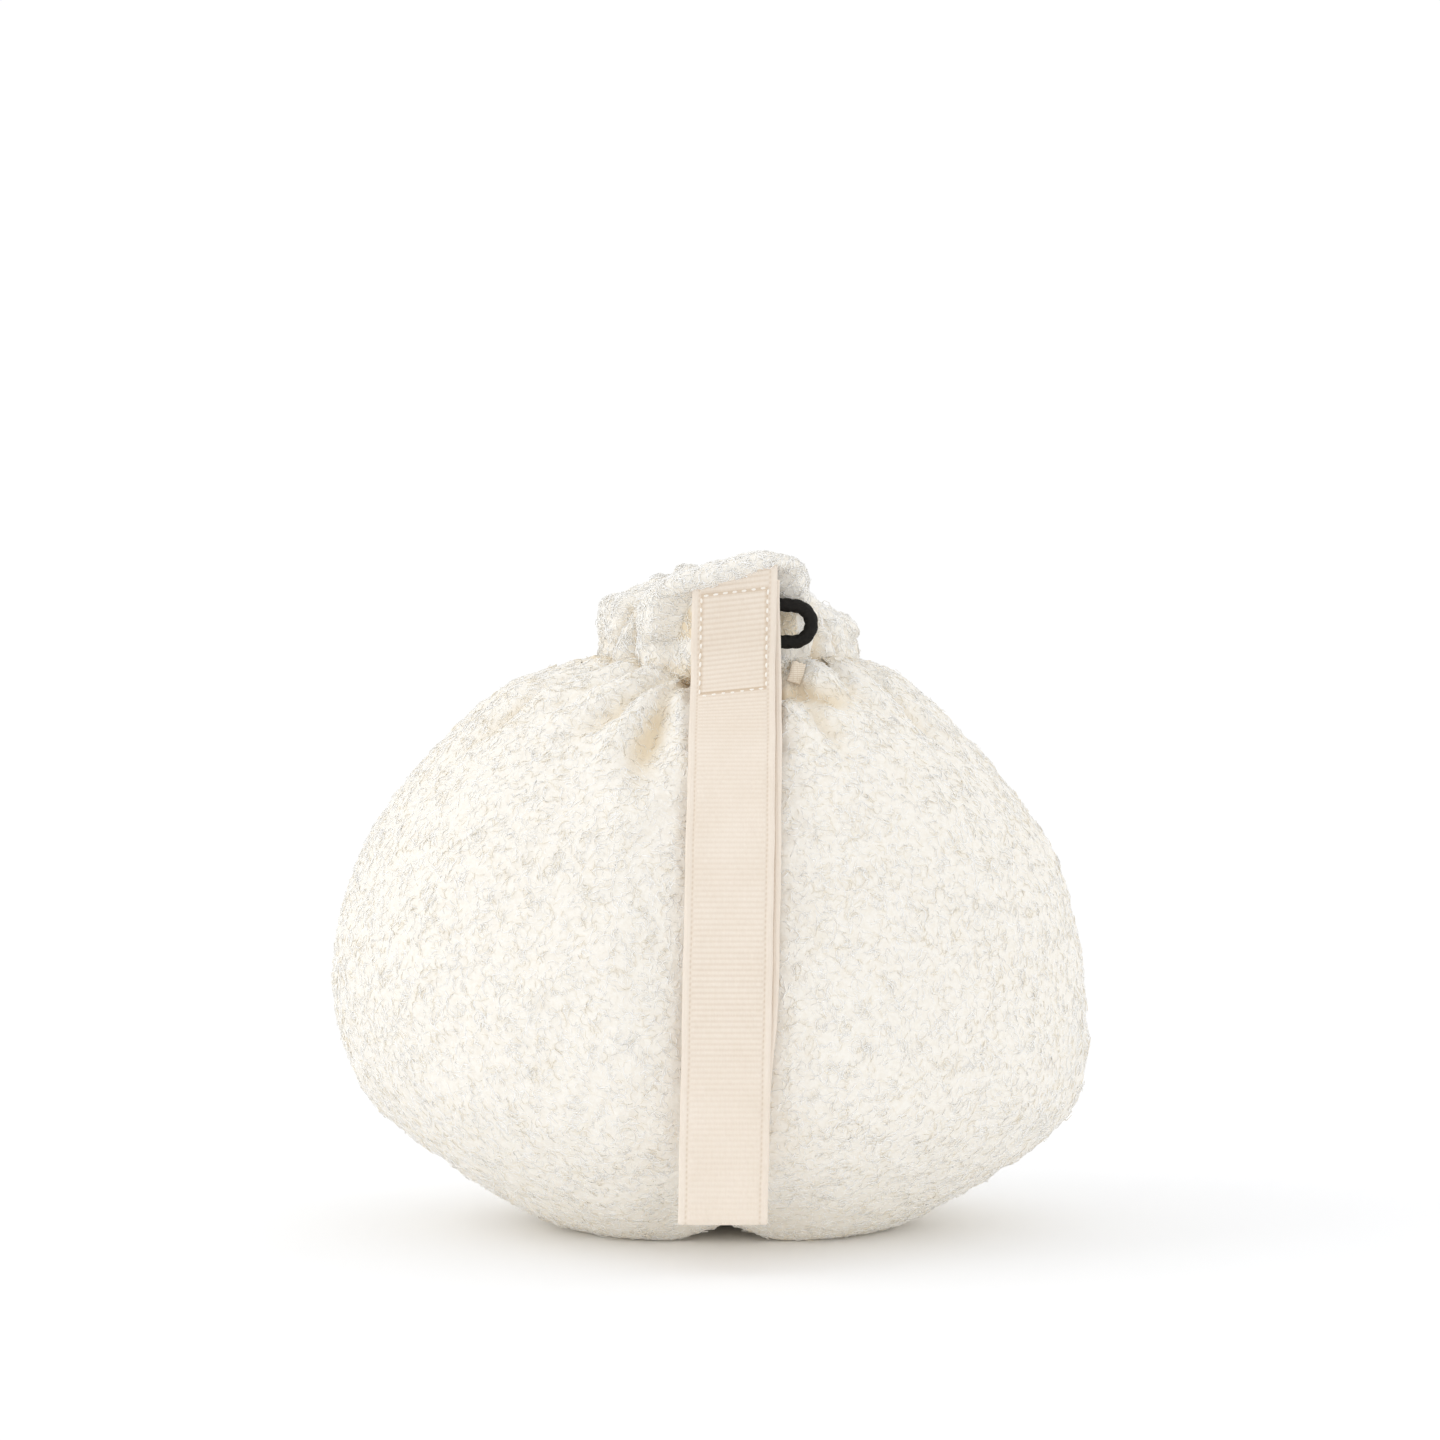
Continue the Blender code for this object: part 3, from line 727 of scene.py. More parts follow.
def make_cover(skin, settled):
    """The plush cover's two panels, each an outer skin and a lining. Returns the outer grids."""
    rows, columns = COVER_ROWS, COVER_COLUMNS
    places = np.linspace(OUTLINE_START, OUTLINE_LENGTH, rows)
    profile = resample(OUTLINE, places)
    reach = np.clip((SEAM_X - centre_x(profile[:, 1])) / profile[:, 0], -0.9, 0.9)
    tilt = np.arcsin(reach)
    grids = []
    for side, sign in (("left", -1), ("right", 1)):
        share = np.linspace(0, 1, columns)[None, :]
        front = -math.pi / 2 + tilt[:, None]
        back = math.pi / 2 - tilt[:, None]
        if sign > 0:
            angle = front + (back - front) * share
        else:
            angle = back + (front + math.tau - back) * share
        radius = np.broadcast_to(profile[:, :1], angle.shape)
        height = np.broadcast_to(profile[:, 1:2], angle.shape)
        points = pouch_points(radius, angle, height)
        normals = grid_normals(points)
        points = points - normals * gather_depth(radius, angle, height)[..., None]
        if settled is not None:
            row_place = (np.arange(rows) / (rows - 1) * (COARSE_ROWS - 1))[:, None]
            row_place = np.broadcast_to(row_place, angle.shape)
            column_place = (angle + math.pi) / math.tau * COARSE_COLUMNS
            points = points + sample_grid(settled, row_place, column_place)
        normals = grid_normals(points)
        free = smooth((radius - 0.018) / 0.006) * smooth((height - 0.001) / 0.006)
        puff = PUFF * smooth((height - 0.110) / 0.009) * smooth((radius - 0.020) / 0.004)
        filling = lumps(points, (0.0008, 0.024, 5), (0.0004, 0.010, 6))
        clumps = lumps(points, (0.00045, 0.0030, 7), (0.00022, 0.0016, 8))
        seam = 0.0012 * bell((points[..., 0] - SEAM_X) / 0.0016)
        out = (filling + clumps - PILE_ROOM) * free - seam * smooth((radius - 0.020) / 0.01)
        out = out + puff * (1 - under_strap(points, 0.001))
        out = out - 0.0006 * under_strap(points) * free
        tuck = right_tuck(points)
        out = out - TUCK_DEPTH * tuck
        points = points + normals * out[..., None]
        points[..., 2] = np.maximum(points[..., 2], 0.0)
        wide = smooth((0.0215 - np.abs(points[..., 0] - BASE_X)) / 0.010)
        ahead = smooth((-points[..., 1] - 0.026) / 0.012)
        points[..., 2] += 0.0024 * wide * ahead * (1 - smooth(points[..., 2] / 0.012))
        limit = strap_back_y(points[..., 2]) + 0.0005
        points[..., 1] = np.where(
            under_strap(points, 0.0005) > 0.5, np.maximum(points[..., 1], limit), points[..., 1]
        )
        edge = SEAM_X + sign * 0.00015
        points[:, (0, -1), 0] = edge
        normals = grid_normals(points)
        lining = points - normals * LINING_DEPTH
        lining[..., 2] = np.maximum(lining[..., 2], 0.0016)
        lining[:, (0, -1), 0] = edge + sign * 0.0003
        both = np.vstack([points.reshape(-1, 3), lining.reshape(-1, 3)])
        body = add_object(f"plush_cover_{side}", both, sheet_quads(rows, columns), material=skin)
        # painted shade: fold is high where the cloth is gathered in, on the pouch close under the collar at
        # the neck, and along the tuck
        fold = np.clip(gather_depth(radius, angle, height) / 0.0032, 0, 1) ** 2
        neck_shade = (1 - smooth((radius - 0.0285) / 0.005)) * (height > 0.110)
        fold = np.clip(fold + 0.6 * neck_shade + tuck, 0, 1)
        add_attribute(body, "fold", np.concatenate([fold.ravel(), fold.ravel()]))
        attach(body, "pouch")
        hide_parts(f"cover_{side}_panel")
        grids.append((points, normals, fold))
    return grids


# ---------------------------------------------------------------- collar
RIGHT_DROP = 0.0040
COLLAR_TOP = 0.1462
COLLAR_ROWS, COLLAR_COLUMNS = 74, 300
COVERED_RADIUS, COVERED_HEIGHT = 0.0250, 0.1362
PRESSED_X, PRESSED_Y, PRESSED_LIMIT = 0.0052, -0.0318, -0.0320
RUFFLE_OUTLINE = (
    (0.0243, 0.1258), (0.0246, 0.1205), (0.0262, 0.1186), (0.0278, 0.1220), (0.0281, 0.1290),
    (0.0273, 0.1345), (0.0250, 0.1378), (0.0205, 0.1393), (0.0160, 0.1412), (0.0118, 0.1436),
    (0.0090, 0.1453), (0.0070, 0.1450), (0.0055, 0.1425),
)
RUFFLE_FOLDS = (
    # angle in degrees, depth and half width in metres, twist towards the mouth in degrees
    (-112, 0.0030, 0.0016, 30),
    (-133, 0.0026, 0.0019, -16),
    (-158, 0.0034, 0.0017, 22),
    (176, 0.0024, 0.0020, -10),
    (150, 0.0034, 0.0018, 18),
    (127, 0.0026, 0.0018, -14),
    (101, 0.0034, 0.0020, 16),
    (76, 0.0026, 0.0017, -20),
    (52, 0.0034, 0.0019, 14),
    (25, 0.0028, 0.0018, -18),
    (-2, 0.0034, 0.0020, 20),
    (-27, 0.0024, 0.0017, -12),
    (-49, 0.0034, 0.0018, 16),
)


def loop_window(points):
    """1 where the pull loop passes in front of the collar."""
    x, z = points[..., 0], points[..., 2]
    tall = 1 - smooth((np.abs(z - LOOP_HEIGHT) - 0.0068) / 0.0014)
    wide = smooth((x + 0.0010) / 0.0010) * (1 - smooth((x - 0.0340) / 0.004))
    return tall * wide * (points[..., 1] < -0.004)


def make_collar(skin):
    outer = smooth_line(RUFFLE_OUTLINE, 16)
    length = lengths(outer)[-1]
    rows_out = COLLAR_ROWS
    outer = resample(outer, np.linspace(0, length, rows_out))
    down = resample(np.array([COLLAR_INSIDE[1], RUFFLE_OUTLINE[0]]), np.linspace(0, 0.009, 6)[:-1])
    across = resample(np.array(COLLAR_INSIDE), np.linspace(0, 0.0188, 12)[:-1])
    wall = resample(np.array([RUFFLE_OUTLINE[-1], COLLAR_INSIDE[0]]), np.linspace(0, 0.0078, 6)[1:-1])
    profile = np.vstack([outer, wall, across, down])
    rows, columns = len(profile), COLLAR_COLUMNS
    angle = np.linspace(-math.pi, math.pi, columns, endpoint=False)[None, :]
    angle = np.broadcast_to(angle, (rows, columns))
    radius = np.broadcast_to(profile[:, :1], angle.shape)
    height = np.broadcast_to(profile[:, 1:], angle.shape)
    along = np.concatenate([np.linspace(0, 1, rows_out), np.zeros(rows - rows_out)])[:, None]
    share = np.linspace(0, 1, rows_out)
    loose = smooth((share - 0.13) / 0.12) * (1 - smooth((share - 0.88) / 0.12))
    free = np.concatenate([loose, np.zeros(rows - rows_out)])[:, None]
    points = np.stack(
        [NECK_X + radius * np.cos(angle), POUCH_Y + radius * np.sin(angle), height], axis=-1
    )
    normals = grid_normals(points, wrap=True)
    folds = np.zeros(angle.shape)
    for middle, depth, width, twist in RUFFLE_FOLDS:
        turned = np.radians(middle + twist * along)
        apart = turned_apart(angle, turned) * np.maximum(radius, 0.008)
        narrow = width * (0.9 - 0.35 * along)
        reach = np.where(along < 0.9, 1.0, 0.5) * (1 - 0.55 * smooth((along - 0.35) / 0.4))
        ridge = bell((apart - 2.6 * narrow) / (1.4 * narrow))
        folds += depth * reach * (bell(apart / narrow) - 0.25 * ridge)
    knobs = lumps(points, (0.0012, 0.0052, 21), (0.0008, 0.0028, 22))
    roll = np.sin(math.tau * (1.9 * along + 0.5 * lattice_noise(points, 0.020, 26)))
    wander = 0.0012 * lattice_noise(points, 0.012, 23) + 0.0006 * roll
    out = (knobs + wander - folds) * free
    points = points + normals * out[..., None]
    points[..., 2] = np.minimum(points[..., 2], COLLAR_TOP + 0.0006 * lattice_noise(points, 0.004, 25))
    # the casing stays covered at the bottom of the folds
    across_x, across_y = points[..., 0] - NECK_X, points[..., 1] - POUCH_Y
    spread = np.maximum(np.hypot(across_x, across_y), 1e-6)
    over = (free > 0) & (height < CASING_TOP)
    short = np.where(over, np.maximum(COVERED_RADIUS / spread, 1.0), 1.0)
    points[..., 0] = NECK_X + across_x * short
    points[..., 1] = POUCH_Y + across_y * short
    low = (free > 0) & (height >= CASING_TOP) & (points[..., 2] < COVERED_HEIGHT)
    points[..., 2] = np.where(low, COVERED_HEIGHT, points[..., 2])
    # pressed forward against the strap's sewn end, except where the cord comes out
    window = loop_window(points)
    beside = 1 - smooth((np.abs(points[..., 0] - PRESSED_X) - 0.0082) / 0.0040)
    facing = smooth((-points[..., 1] - 0.016) / 0.006)
    level = smooth((points[..., 2] - 0.1192) / 0.0015) * (1 - smooth((points[..., 2] - 0.1390) / 0.003))
    target = PRESSED_Y + 0.0004 * lattice_noise(points, 0.003, 24)
    press = beside * facing * level * free * (1 - window)
    points[..., 1] = points[..., 1] * (1 - press) + target * press
    wide = smooth((points[..., 0] - 0.018) / 0.012) * smooth((points[..., 2] - 0.128) / 0.008)
    points[..., 2] -= RIGHT_DROP * wide
    held = (window > 0.02) & (points[..., 1] < COLLAR_FRONT_Y + 0.0002)
    points[..., 1] = np.where(held, COLLAR_FRONT_Y + 0.0002, points[..., 1])
    proud = (np.abs(points[..., 0] - PRESSED_X) < 0.0100) & (points[..., 1] < PRESSED_LIMIT)
    points[..., 1] = np.where(proud, PRESSED_LIMIT, points[..., 1])
    normals = grid_normals(points, wrap=True)
    quads = grid_quads(rows, columns, wrap=True)
    first = np.arange(columns)
    close = ring_quads((rows - 1) * columns + first, first)
    collar = add_object("plush_collar", points.reshape(-1, 3), np.vstack([quads, close]), material=skin)
    # painted shade: fold is high in the ruffle's folds, towards the collar's bottom where it meets the pouch,
    # and in the shadow behind the pull loop
    fold = np.clip((folds - knobs * 0.6) / 0.0040, 0, 1) ** 1.2
    low = 0.6 * (1 - smooth((points[..., 2] - 0.1215) / 0.004))
    x, z = points[..., 0], points[..., 2]
    loop_shadow = (np.abs(z - LOOP_HEIGHT) < 0.0030) & (x < 0.0190) & (points[..., 1] < -0.020)
    fold = np.clip(fold + low + loop_shadow, 0, 1)
    add_attribute(collar, "fold", fold)
    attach(collar, "pouch")
    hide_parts("collar_ruffle")
    return points[:rows_out], normals[:rows_out], fold[:rows_out]


HEM_ROUTE = (
    (-0.0130, -0.0160, 0.1350),
    (-0.0088, -0.0222, 0.1376),
    (-0.0040, -0.0286, 0.1402),
    (0.0020, -0.0292, 0.1423),
    (0.0080, -0.0290, 0.1440),
    (0.0125, -0.0278, 0.1448),
    (0.0158, -0.0222, 0.1438),
    (0.0180, -0.0165, 0.1415),
)
HEM_ROWS, HEM_COLUMNS = 64, 40
HEM_HALF_DEPTH = 0.0068


def make_front_hem(skin):
    """The rolled hem of the collar that laps over the strap's sewn top."""
    route = smooth_line(HEM_ROUTE, 12)
    rows, columns = HEM_ROWS, HEM_COLUMNS
    route = resample(route, np.linspace(0, lengths(route)[-1], rows))
    share = np.linspace(0, 1, rows)
    along = unit(np.gradient(route, axis=0))
    side = unit(np.cross(along, np.array([0.0, 0.0, 1.0])))
    up = np.cross(side, along)
    turn = np.linspace(0, math.tau, columns, endpoint=False)
    full = np.sqrt(np.clip(1 - (2 * share - 1) ** 4, 0.02, 1))[:, None]
    thick = HEM_HALF_DEPTH * full * (1 + 0.04 * np.sin(share * 17)[:, None])
    tall = (0.0038 - 0.0020 * share[:, None]) * full * (1 + 0.08 * np.sin(share * 12 + 1)[:, None])
    points = (
        route[:, None, :]
        + side[:, None, :] * (thick * np.cos(turn))[..., None]
        + up[:, None, :] * (tall * np.sin(turn))[..., None]
    )
    normals = grid_normals(points, wrap=True)
    flip = np.sign(np.sum(normals * (points - route[:, None, :]), axis=-1).mean())
    normals = normals * flip
    out = lumps(points, (0.0005, 0.004, 31), (0.0003, 0.0024, 32))
    points = points + normals * out[..., None]
    # behind the strap it runs down into the collar
    behind = smooth((points[..., 1] + 0.0312) / 0.005)
    under = smooth(-np.sin(turn) / 0.4 + 0.3)[None, :]
    points[..., 2] -= behind * (0.0065 * under + 0.0020 * smooth((points[..., 1] + 0.0270) / 0.010))
    quads = grid_quads(rows, columns, wrap=True)
    if flip < 0:
        quads = quads[:, ::-1]
    vertices = np.vstack([points.reshape(-1, 3), route[:1], route[-1:]])
    ring = np.arange(columns)
    start, end = fan(ring, rows * columns), fan((rows - 1) * columns + ring, rows * columns + 1)
    ends = [start[:, ::-1], end] if flip > 0 else [start, end[:, ::-1]]
    hem = add_object("plush_front_hem", vertices, quads, np.vstack(ends), material=skin)
    add_attribute(hem, "fold", np.zeros(len(vertices)))
    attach(hem, "pouch")
    return points, normals, np.zeros(points.shape[:2])


# ---------------------------------------------------------------- pile
PILE_DENSITY = 1.0e6
COLLAR_DENSITY = 1.5e6
COVER_THICK = 0.000115
COLLAR_THICK = 0.00012
LOOSE_SHARE = 0.12
LOOSE_RISE = 0.0007
SUNK = 0.00016
# from the lightest to the warmest; strands deeper in folds get the warmer ones as painted shade, mixed with
# tone that differs at random
TONES_AND_SHADE = (
    ("a", (0.990, 0.984, 0.968)),
    ("b", (0.986, 0.976, 0.950)),
    ("c", (0.978, 0.960, 0.922)),
    ("d", (0.940, 0.890, 0.790)),
)


def scatter(grid, normals, fold, density, rng, wrap=False):
    """Places spread over a grid surface, about density to the square metre, their normals, and how deep in a
    fold they are, which sets how much painted fold shade their pile gets."""
    if wrap:
        grid = np.concatenate([grid, grid[:, :1]], axis=1)
        normals = np.concatenate([normals, normals[:, :1]], axis=1)
        fold = np.concatenate([fold, fold[:, :1]], axis=1)
    a, b = grid[:-1, :-1], grid[:-1, 1:]
    c, d = grid[1:, 1:], grid[1:, :-1]
    area = np.linalg.norm(np.cross(c - a, d - b), axis=-1) / 2
    count = rng.poisson(area * density)
    cell = np.repeat(np.arange(area.size), count.ravel())
    r, k = np.divmod(cell, area.shape[1])
    u, v = rng.random(len(cell))[:, None], rng.random(len(cell))[:, None]
    places = (a[r, k] * (1 - u) + b[r, k] * u) * (1 - v) + (d[r, k] * (1 - u) + c[r, k] * u) * v
    facing = unit(
        (normals[:-1, :-1][r, k] * (1 - u) + normals[:-1, 1:][r, k] * u) * (1 - v)
        + (normals[1:, :-1][r, k] * (1 - u) + normals[1:, 1:][r, k] * u) * v
    )
    return places, facing, fold[r, k]


def curled_strands(roots, normals, rng, length, thick, rise, seed):
    """Short curls of pile: each leaves the cloth, arches over it and goes back in, or stays loose."""
    count = len(roots)
    flow = lattice_noise(roots, 0.0032, seed, 3) + 0.5 * rng.normal(size=(count, 3))
    flow = unit(flow - normals * np.sum(flow * normals, axis=-1, keepdims=True))
    side = np.cross(normals, flow)
    reach = rng.uniform(*length, count)
    bow = rng.uniform(-0.6, 0.6, count) * reach
    high = rise * rng.uniform(0.45, 1.35, count)
    loose = (rng.random(count) < LOOSE_SHARE) * rng.uniform(0.3, 1.0, count) * LOOSE_RISE
    loose = loose * (1 - under_strap(roots, 0.0015))
    share = np.array([0.0, 0.33, 0.67, 1.0])
    arch = np.sin(math.pi * share)
    up = high[:, None] * arch - SUNK + loose[:, None] * share**2
    centre = (
        roots[:, None, :]
        + flow[:, None, :] * (reach[:, None] * (share - 0.5))[..., None]
        + side[:, None, :] * (bow[:, None] * arch)[..., None]
        + normals[:, None, :] * up[..., None]
    )
    along = unit(np.gradient(centre, axis=1))
    first = unit(np.cross(along, normals[:, None, :]))
    second = np.cross(along, first)
    radius = thick * rng.uniform(0.8, 1.2, count)[:, None] * np.array([0.75, 1.0, 1.0, 0.7])
    turns = np.arange(3) * math.tau / 3
    rings = centre[:, :, None, :] + radius[:, :, None, None] * (
        first[:, :, None, :] * np.cos(turns)[None, None, :, None]
        + second[:, :, None, :] * np.sin(turns)[None, None, :, None]
    )
    vertices = rings.reshape(count, 12, 3)
    vertices[..., 2] = np.maximum(vertices[..., 2], 0.00005)
    quads = []
    for ring in range(3):
        for k in range(3):
            n = (k + 1) % 3
            quads.append((3 * ring + k, 3 * ring + n, 3 * ring + 3 + n, 3 * ring + 3 + k))
    tris = [(2, 1, 0), (9, 10, 11)]
    offset = (np.arange(count) * 12)[:, None, None]
    return (
        vertices.reshape(-1, 3),
        (np.array(quads)[None] + offset).reshape(-1, 4),
        (np.array(tris)[None] + offset).reshape(-1, 3),
    )


def make_pile(name, places, facing, fold, rise, length, thick, seed, tones_and_shade, pieces):
    rng = np.random.default_rng(seed)
    # painted shade: strands are ranked by how deep in a fold they lie, with some chance mixed in, and the
    # deeper ones take the warmer tones
    order = np.argsort(fold + 0.6 * rng.random(len(places)))
    for number, share in enumerate(np.array_split(order, pieces)):
        material = tones_and_shade[number * len(tones_and_shade) // pieces]
        data = curled_strands(places[share], facing[share], rng, length, thick, rise[share], seed + 50)
        pile = add_object(f"{name}_pile_{number + 1}", *data, material=material, flat=True)
        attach(pile, "pouch")


def only(keep, *values):
    return [value[keep] for value in values]


def cover_pile(side, grid, tones_and_shade, seed):
    rng = np.random.default_rng(seed)
    places, facing, fold = scatter(*grid, PILE_DENSITY, rng)
    radius = np.hypot(places[:, 0] - NECK_X, places[:, 1] - POUCH_Y)
    hidden = (radius < 0.0225) & (places[:, 2] > 0.10)
    places, facing, fold = only(~hidden & (places[:, 2] > 0.0002), places, facing, fold)
    rise = 0.00026 + 0.00010 * lattice_noise(places, 0.0032, seed + 3)
    rise = rise * (1 - 0.35 * under_strap(places, 0.0020))
    make_pile(f"cover_{side}", places, facing, fold, rise, (0.0014, 0.0034), COVER_THICK, seed, tones_and_shade, 8)


def collar_pile(grid, tones_and_shade):
    rng = np.random.default_rng(303)
    places, facing, fold = scatter(*grid, COLLAR_DENSITY, rng, wrap=True)
    inside = np.hypot(places[:, 0] - NECK_X, places[:, 1] - POUCH_Y) < 0.0062
    covered = (under_strap(places, -0.001) > 0.5) & (places[:, 2] < 0.1375)
    places, facing, fold = only(~inside & ~covered, places, facing, fold)
    rise = (0.00036 + 0.00015 * lattice_noise(places, 0.003, 304)) * (1 - 0.6 * loop_window(places))
    make_pile("collar", places, facing, fold, rise, (0.0014, 0.0032), COLLAR_THICK, 303, tones_and_shade, 4)


def hem_pile(grid, tones_and_shade):
    rng = np.random.default_rng(404)
    places, facing, fold = scatter(*grid, COLLAR_DENSITY, rng, wrap=True)
    keep = (under_strap(places, -0.001) < 0.5) | (facing[:, 2] > -0.35) | (places[:, 1] < -0.0335)
    places, facing, fold = only(keep, places, facing, fold)
    rise = np.full(len(places), 0.00036)
    make_pile("hem", places, facing, fold, rise, (0.0012, 0.0028), COLLAR_THICK, 404, tones_and_shade[:2], 2)


# ---------------------------------------------------------------- strap
STRAP_TOP = 0.1432


def outward(line):
    """The directions square to a line in the plane of depth and height."""
    along = unit(np.gradient(line, axis=0))
    return np.stack([along[:, 1], -along[:, 0]], axis=1)


def make_strap(cloth):
    """The doubled ribbon: down the front, round its lowest fold and up behind."""
    middle = smooth_line(STRAP_LINE, 24)
    front_line = np.vstack([[[middle[0, 0], STRAP_TOP]], middle])
    front = front_line + outward(front_line) * LAYER_MIDDLE
    back = (middle - outward(middle) * LAYER_MIDDLE)[::-1]
    turns = np.linspace(math.pi, math.tau, 12)[1:-1]
    fold = middle[-1] + np.stack([np.cos(turns), np.sin(turns)], axis=1) * LAYER_MIDDLE
    line = np.vstack([front, fold, back])
    length = lengths(line)[-1]
    places = np.arange(0, length, RIB_PITCH / 5)
    run = resample(line, places)
    on_back = smooth((places - lengths(np.vstack([front, fold]))[-1]) / 0.010)
    w = STRAP_HALF_WIDTH
    half = np.array([0.0, 1.6, 3.2, 4.8, 6.2, 7.0, 7.3, 7.45, 7.6, 7.9, 8.4, 8.8, 9.0]) / 1000
    across = np.concatenate([-half[:0:-1], half])
    out = outward(run)
    phase = math.tau * places / RIB_PITCH
    rib = (0.5 + 0.5 * np.cos(phase)) ** 0.6
    strength = 0.75 + 0.25 * np.sin(places * 61 + 1.0)
    a = np.abs(across)
    body = 1 - smooth((a - BODY_HALF_WIDTH) / 0.0003)
    groove = bell((a - GROOVE_PLACE) / 0.00016)
    selvedge = smooth((a - SELVEDGE_PLACE) / 0.0003)
    relief = (
        RIB_RELIEF * (rib * strength)[:, None] * body[None, :]
        - 0.00012 * groove[None, :] * (0.55 + 0.45 * np.cos(phase))[:, None]
        + 0.00003 * selvedge[None, :] * np.cos(2 * phase)[:, None]
        + 0.00004 * selvedge[None, :]
    )
    round_off = LAYER_HALF * np.sqrt(np.clip(1 - np.clip((a - 0.0086) / 0.00042, 0, 1) ** 2, 0.03, 1))
    sides = []
    shear = TOP_SHEAR * smooth((run[:, 1] - 0.108) / 0.012)
    apart = 0.45 + 0.55 * (1 - smooth((run[:, 1] - 0.116) / 0.022))
    shift = 0.0014 * apart * on_back * smooth((run[:, 1] - 0.030) / 0.030)
    shift = shift * (1 - smooth((run[:, 1] - 0.139) / 0.006))
    edge_line = 0.00004 * np.sin(places * 210) + 0.00003 * np.sin(places * 480 + 1)
    for face in (1, -1):
        thickness = face * (round_off[None, :] + relief)
        y = run[:, :1] + out[:, :1] * thickness
        z = run[:, 1:] + out[:, 1:] * thickness
        x = strap_x(run[:, 1])[:, None] + across[None, :] * (1 + edge_line[:, None] / w) + shift[:, None]
        z = z + across[None, :] * shear[:, None]
        sides.append(np.stack([x, y, z], axis=-1))
    quads = sheet_quads(*sides[0].shape[:2])[:, ::-1]
    points = np.vstack([sides[0].reshape(-1, 3), sides[1].reshape(-1, 3)])
    strap = add_object("ribbon_strap", points, quads, material=cloth)
    # painted shade in the hollows between the ribs, weaker towards the bottom, and in the grooves by the
    # edges; the ribbon is also darker along the lines of the stitch box
    low = (1 - rib) ** 2 * strength * (0.45 + 0.55 * smooth((run[:, 1] - 0.030) / 0.030))
    sewn = (run[:, 1] > BOX_LOW - 0.0004) & (run[:, 1] < BOX_HIGH + 0.0004) & (places < 0.040)
    rows_sewn = np.minimum(np.abs(run[:, 1] - BOX_LOW), np.abs(run[:, 1] - BOX_HIGH)) < 0.00035
    box = 0.75 * (rows_sewn & sewn)[:, None] * (a < 0.0072)[None, :]
    box = np.maximum(box, 0.75 * sewn[:, None] * (np.abs(a - BOX_HALF_WIDTH) < 0.0002)[None, :])
    groove_shade = 0.7 * groove[None, :] * (0.6 + 0.4 * np.cos(phase))[:, None]
    shade_and_stitch_lines = np.clip(box + 0.55 * low[:, None] * body[None, :] + groove_shade, 0, 1)
    add_attribute(strap, "groove", np.concatenate([shade_and_stitch_lines.ravel(), shade_and_stitch_lines.ravel()]))
    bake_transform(strap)
    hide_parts("strap_sewn_end_front", "strap_sewn_end_back", "hand_strap_loop")
    return front


STITCH_RINGS, STITCH_SIDES = 7, 8


def capsule(start, end, radius, normal, dip):
    """A short stitch between two points, thickest in its middle, its ends pressed in."""
    rings, sides = STITCH_RINGS, STITCH_SIDES
    share = np.linspace(0, 1, rings)
    along = unit(end - start)
    side = np.cross(normal, along)
    size = radius * np.sqrt(np.clip(1 - (2 * share - 1) ** 2 * 0.96, 0, 1))
    pressed = np.outer(dip * (np.sin(share * math.pi) - 1), normal)
    centre = start + (end - start) * share[:, None] + pressed
    turn = np.linspace(0, math.tau, sides, endpoint=False)
    round_it = np.cos(turn)[None, :, None] * side + np.sin(turn)[None, :, None] * normal
    ring = centre[:, None, :] + size[:, None, None] * round_it
    points = np.vstack([ring.reshape(-1, 3), centre[:1], centre[-1:]])
    quads = grid_quads(rings, sides, wrap=True)[:, ::-1]
    return points, quads, end_fans(rings, sides)


def end_fans(rings, sides):
    """The two closed ends of a tube whose end points follow its rings."""
    ring = np.arange(sides)
    end = fan((rings - 1) * sides + ring, rings * sides + 1)
    return np.vstack([fan(ring, rings * sides), end[:, ::-1]])


def join(parts):
    points, quads, tris, first = [], [], [], 0
    for p, q, t in parts:
        points.append(p)
        quads.append(q + first)
        tris.append(t + first)
        first += len(p)
    return np.vstack(points), np.vstack(quads), np.vstack(tris)


BOX_PITCH, BOX_HALF_STITCH, BOX_THREAD_RADIUS = 0.0019, 0.00068, 0.00025


def make_stitches(front, thread):
    """The box of stitches that sews the strap's ends to the collar."""
    rng = np.random.default_rng(44)
    order = np.argsort(front[:, 1])
    heights, depths = front[order, 1], front[order, 0]

    def place(across, height):
        flat = height - TOP_SHEAR * across * float(smooth((height - 0.108) / 0.012))
        y = np.interp(flat, heights, depths) - LAYER_HALF - 0.00016
        return np.array([strap_x(flat) + across, y, height])

    half, skew = BOX_HALF_WIDTH, BOX_SKEW
    corners = [
        (-half, BOX_LOW - skew), (half, BOX_LOW + skew), (half, BOX_HIGH + skew), (-half, BOX_HIGH - skew)
    ]
    parts = []
    for (x0, z0), (x1, z1) in zip(corners, corners[1:] + corners[:1]):
        long = math.hypot(x1 - x0, z1 - z0)
        count = round(long / BOX_PITCH)
        for k in range(count):
            middle = (k + 0.5) / count
            half_share = BOX_HALF_STITCH / long
            ends = []
            for share in (middle - half_share, middle + half_share):
                wobble = rng.normal(0, 0.00006)
                ends.append(place(x0 + (x1 - x0) * share + wobble, z0 + (z1 - z0) * share + wobble))
            parts.append(capsule(*ends, BOX_THREAD_RADIUS, np.array([0.0, -1.0, 0.0]), 0.00032))
    stitches = add_object("box_stitches", *join(parts), material=thread)
    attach(stitches, "pouch")
    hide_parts("box_stitch_thread")


# ---------------------------------------------------------------- cord
BRAID_STRANDS = 8
BRAID_SIDES = 32
BRAID_PITCH = 0.0042
BRAID_STEP = 0.0002


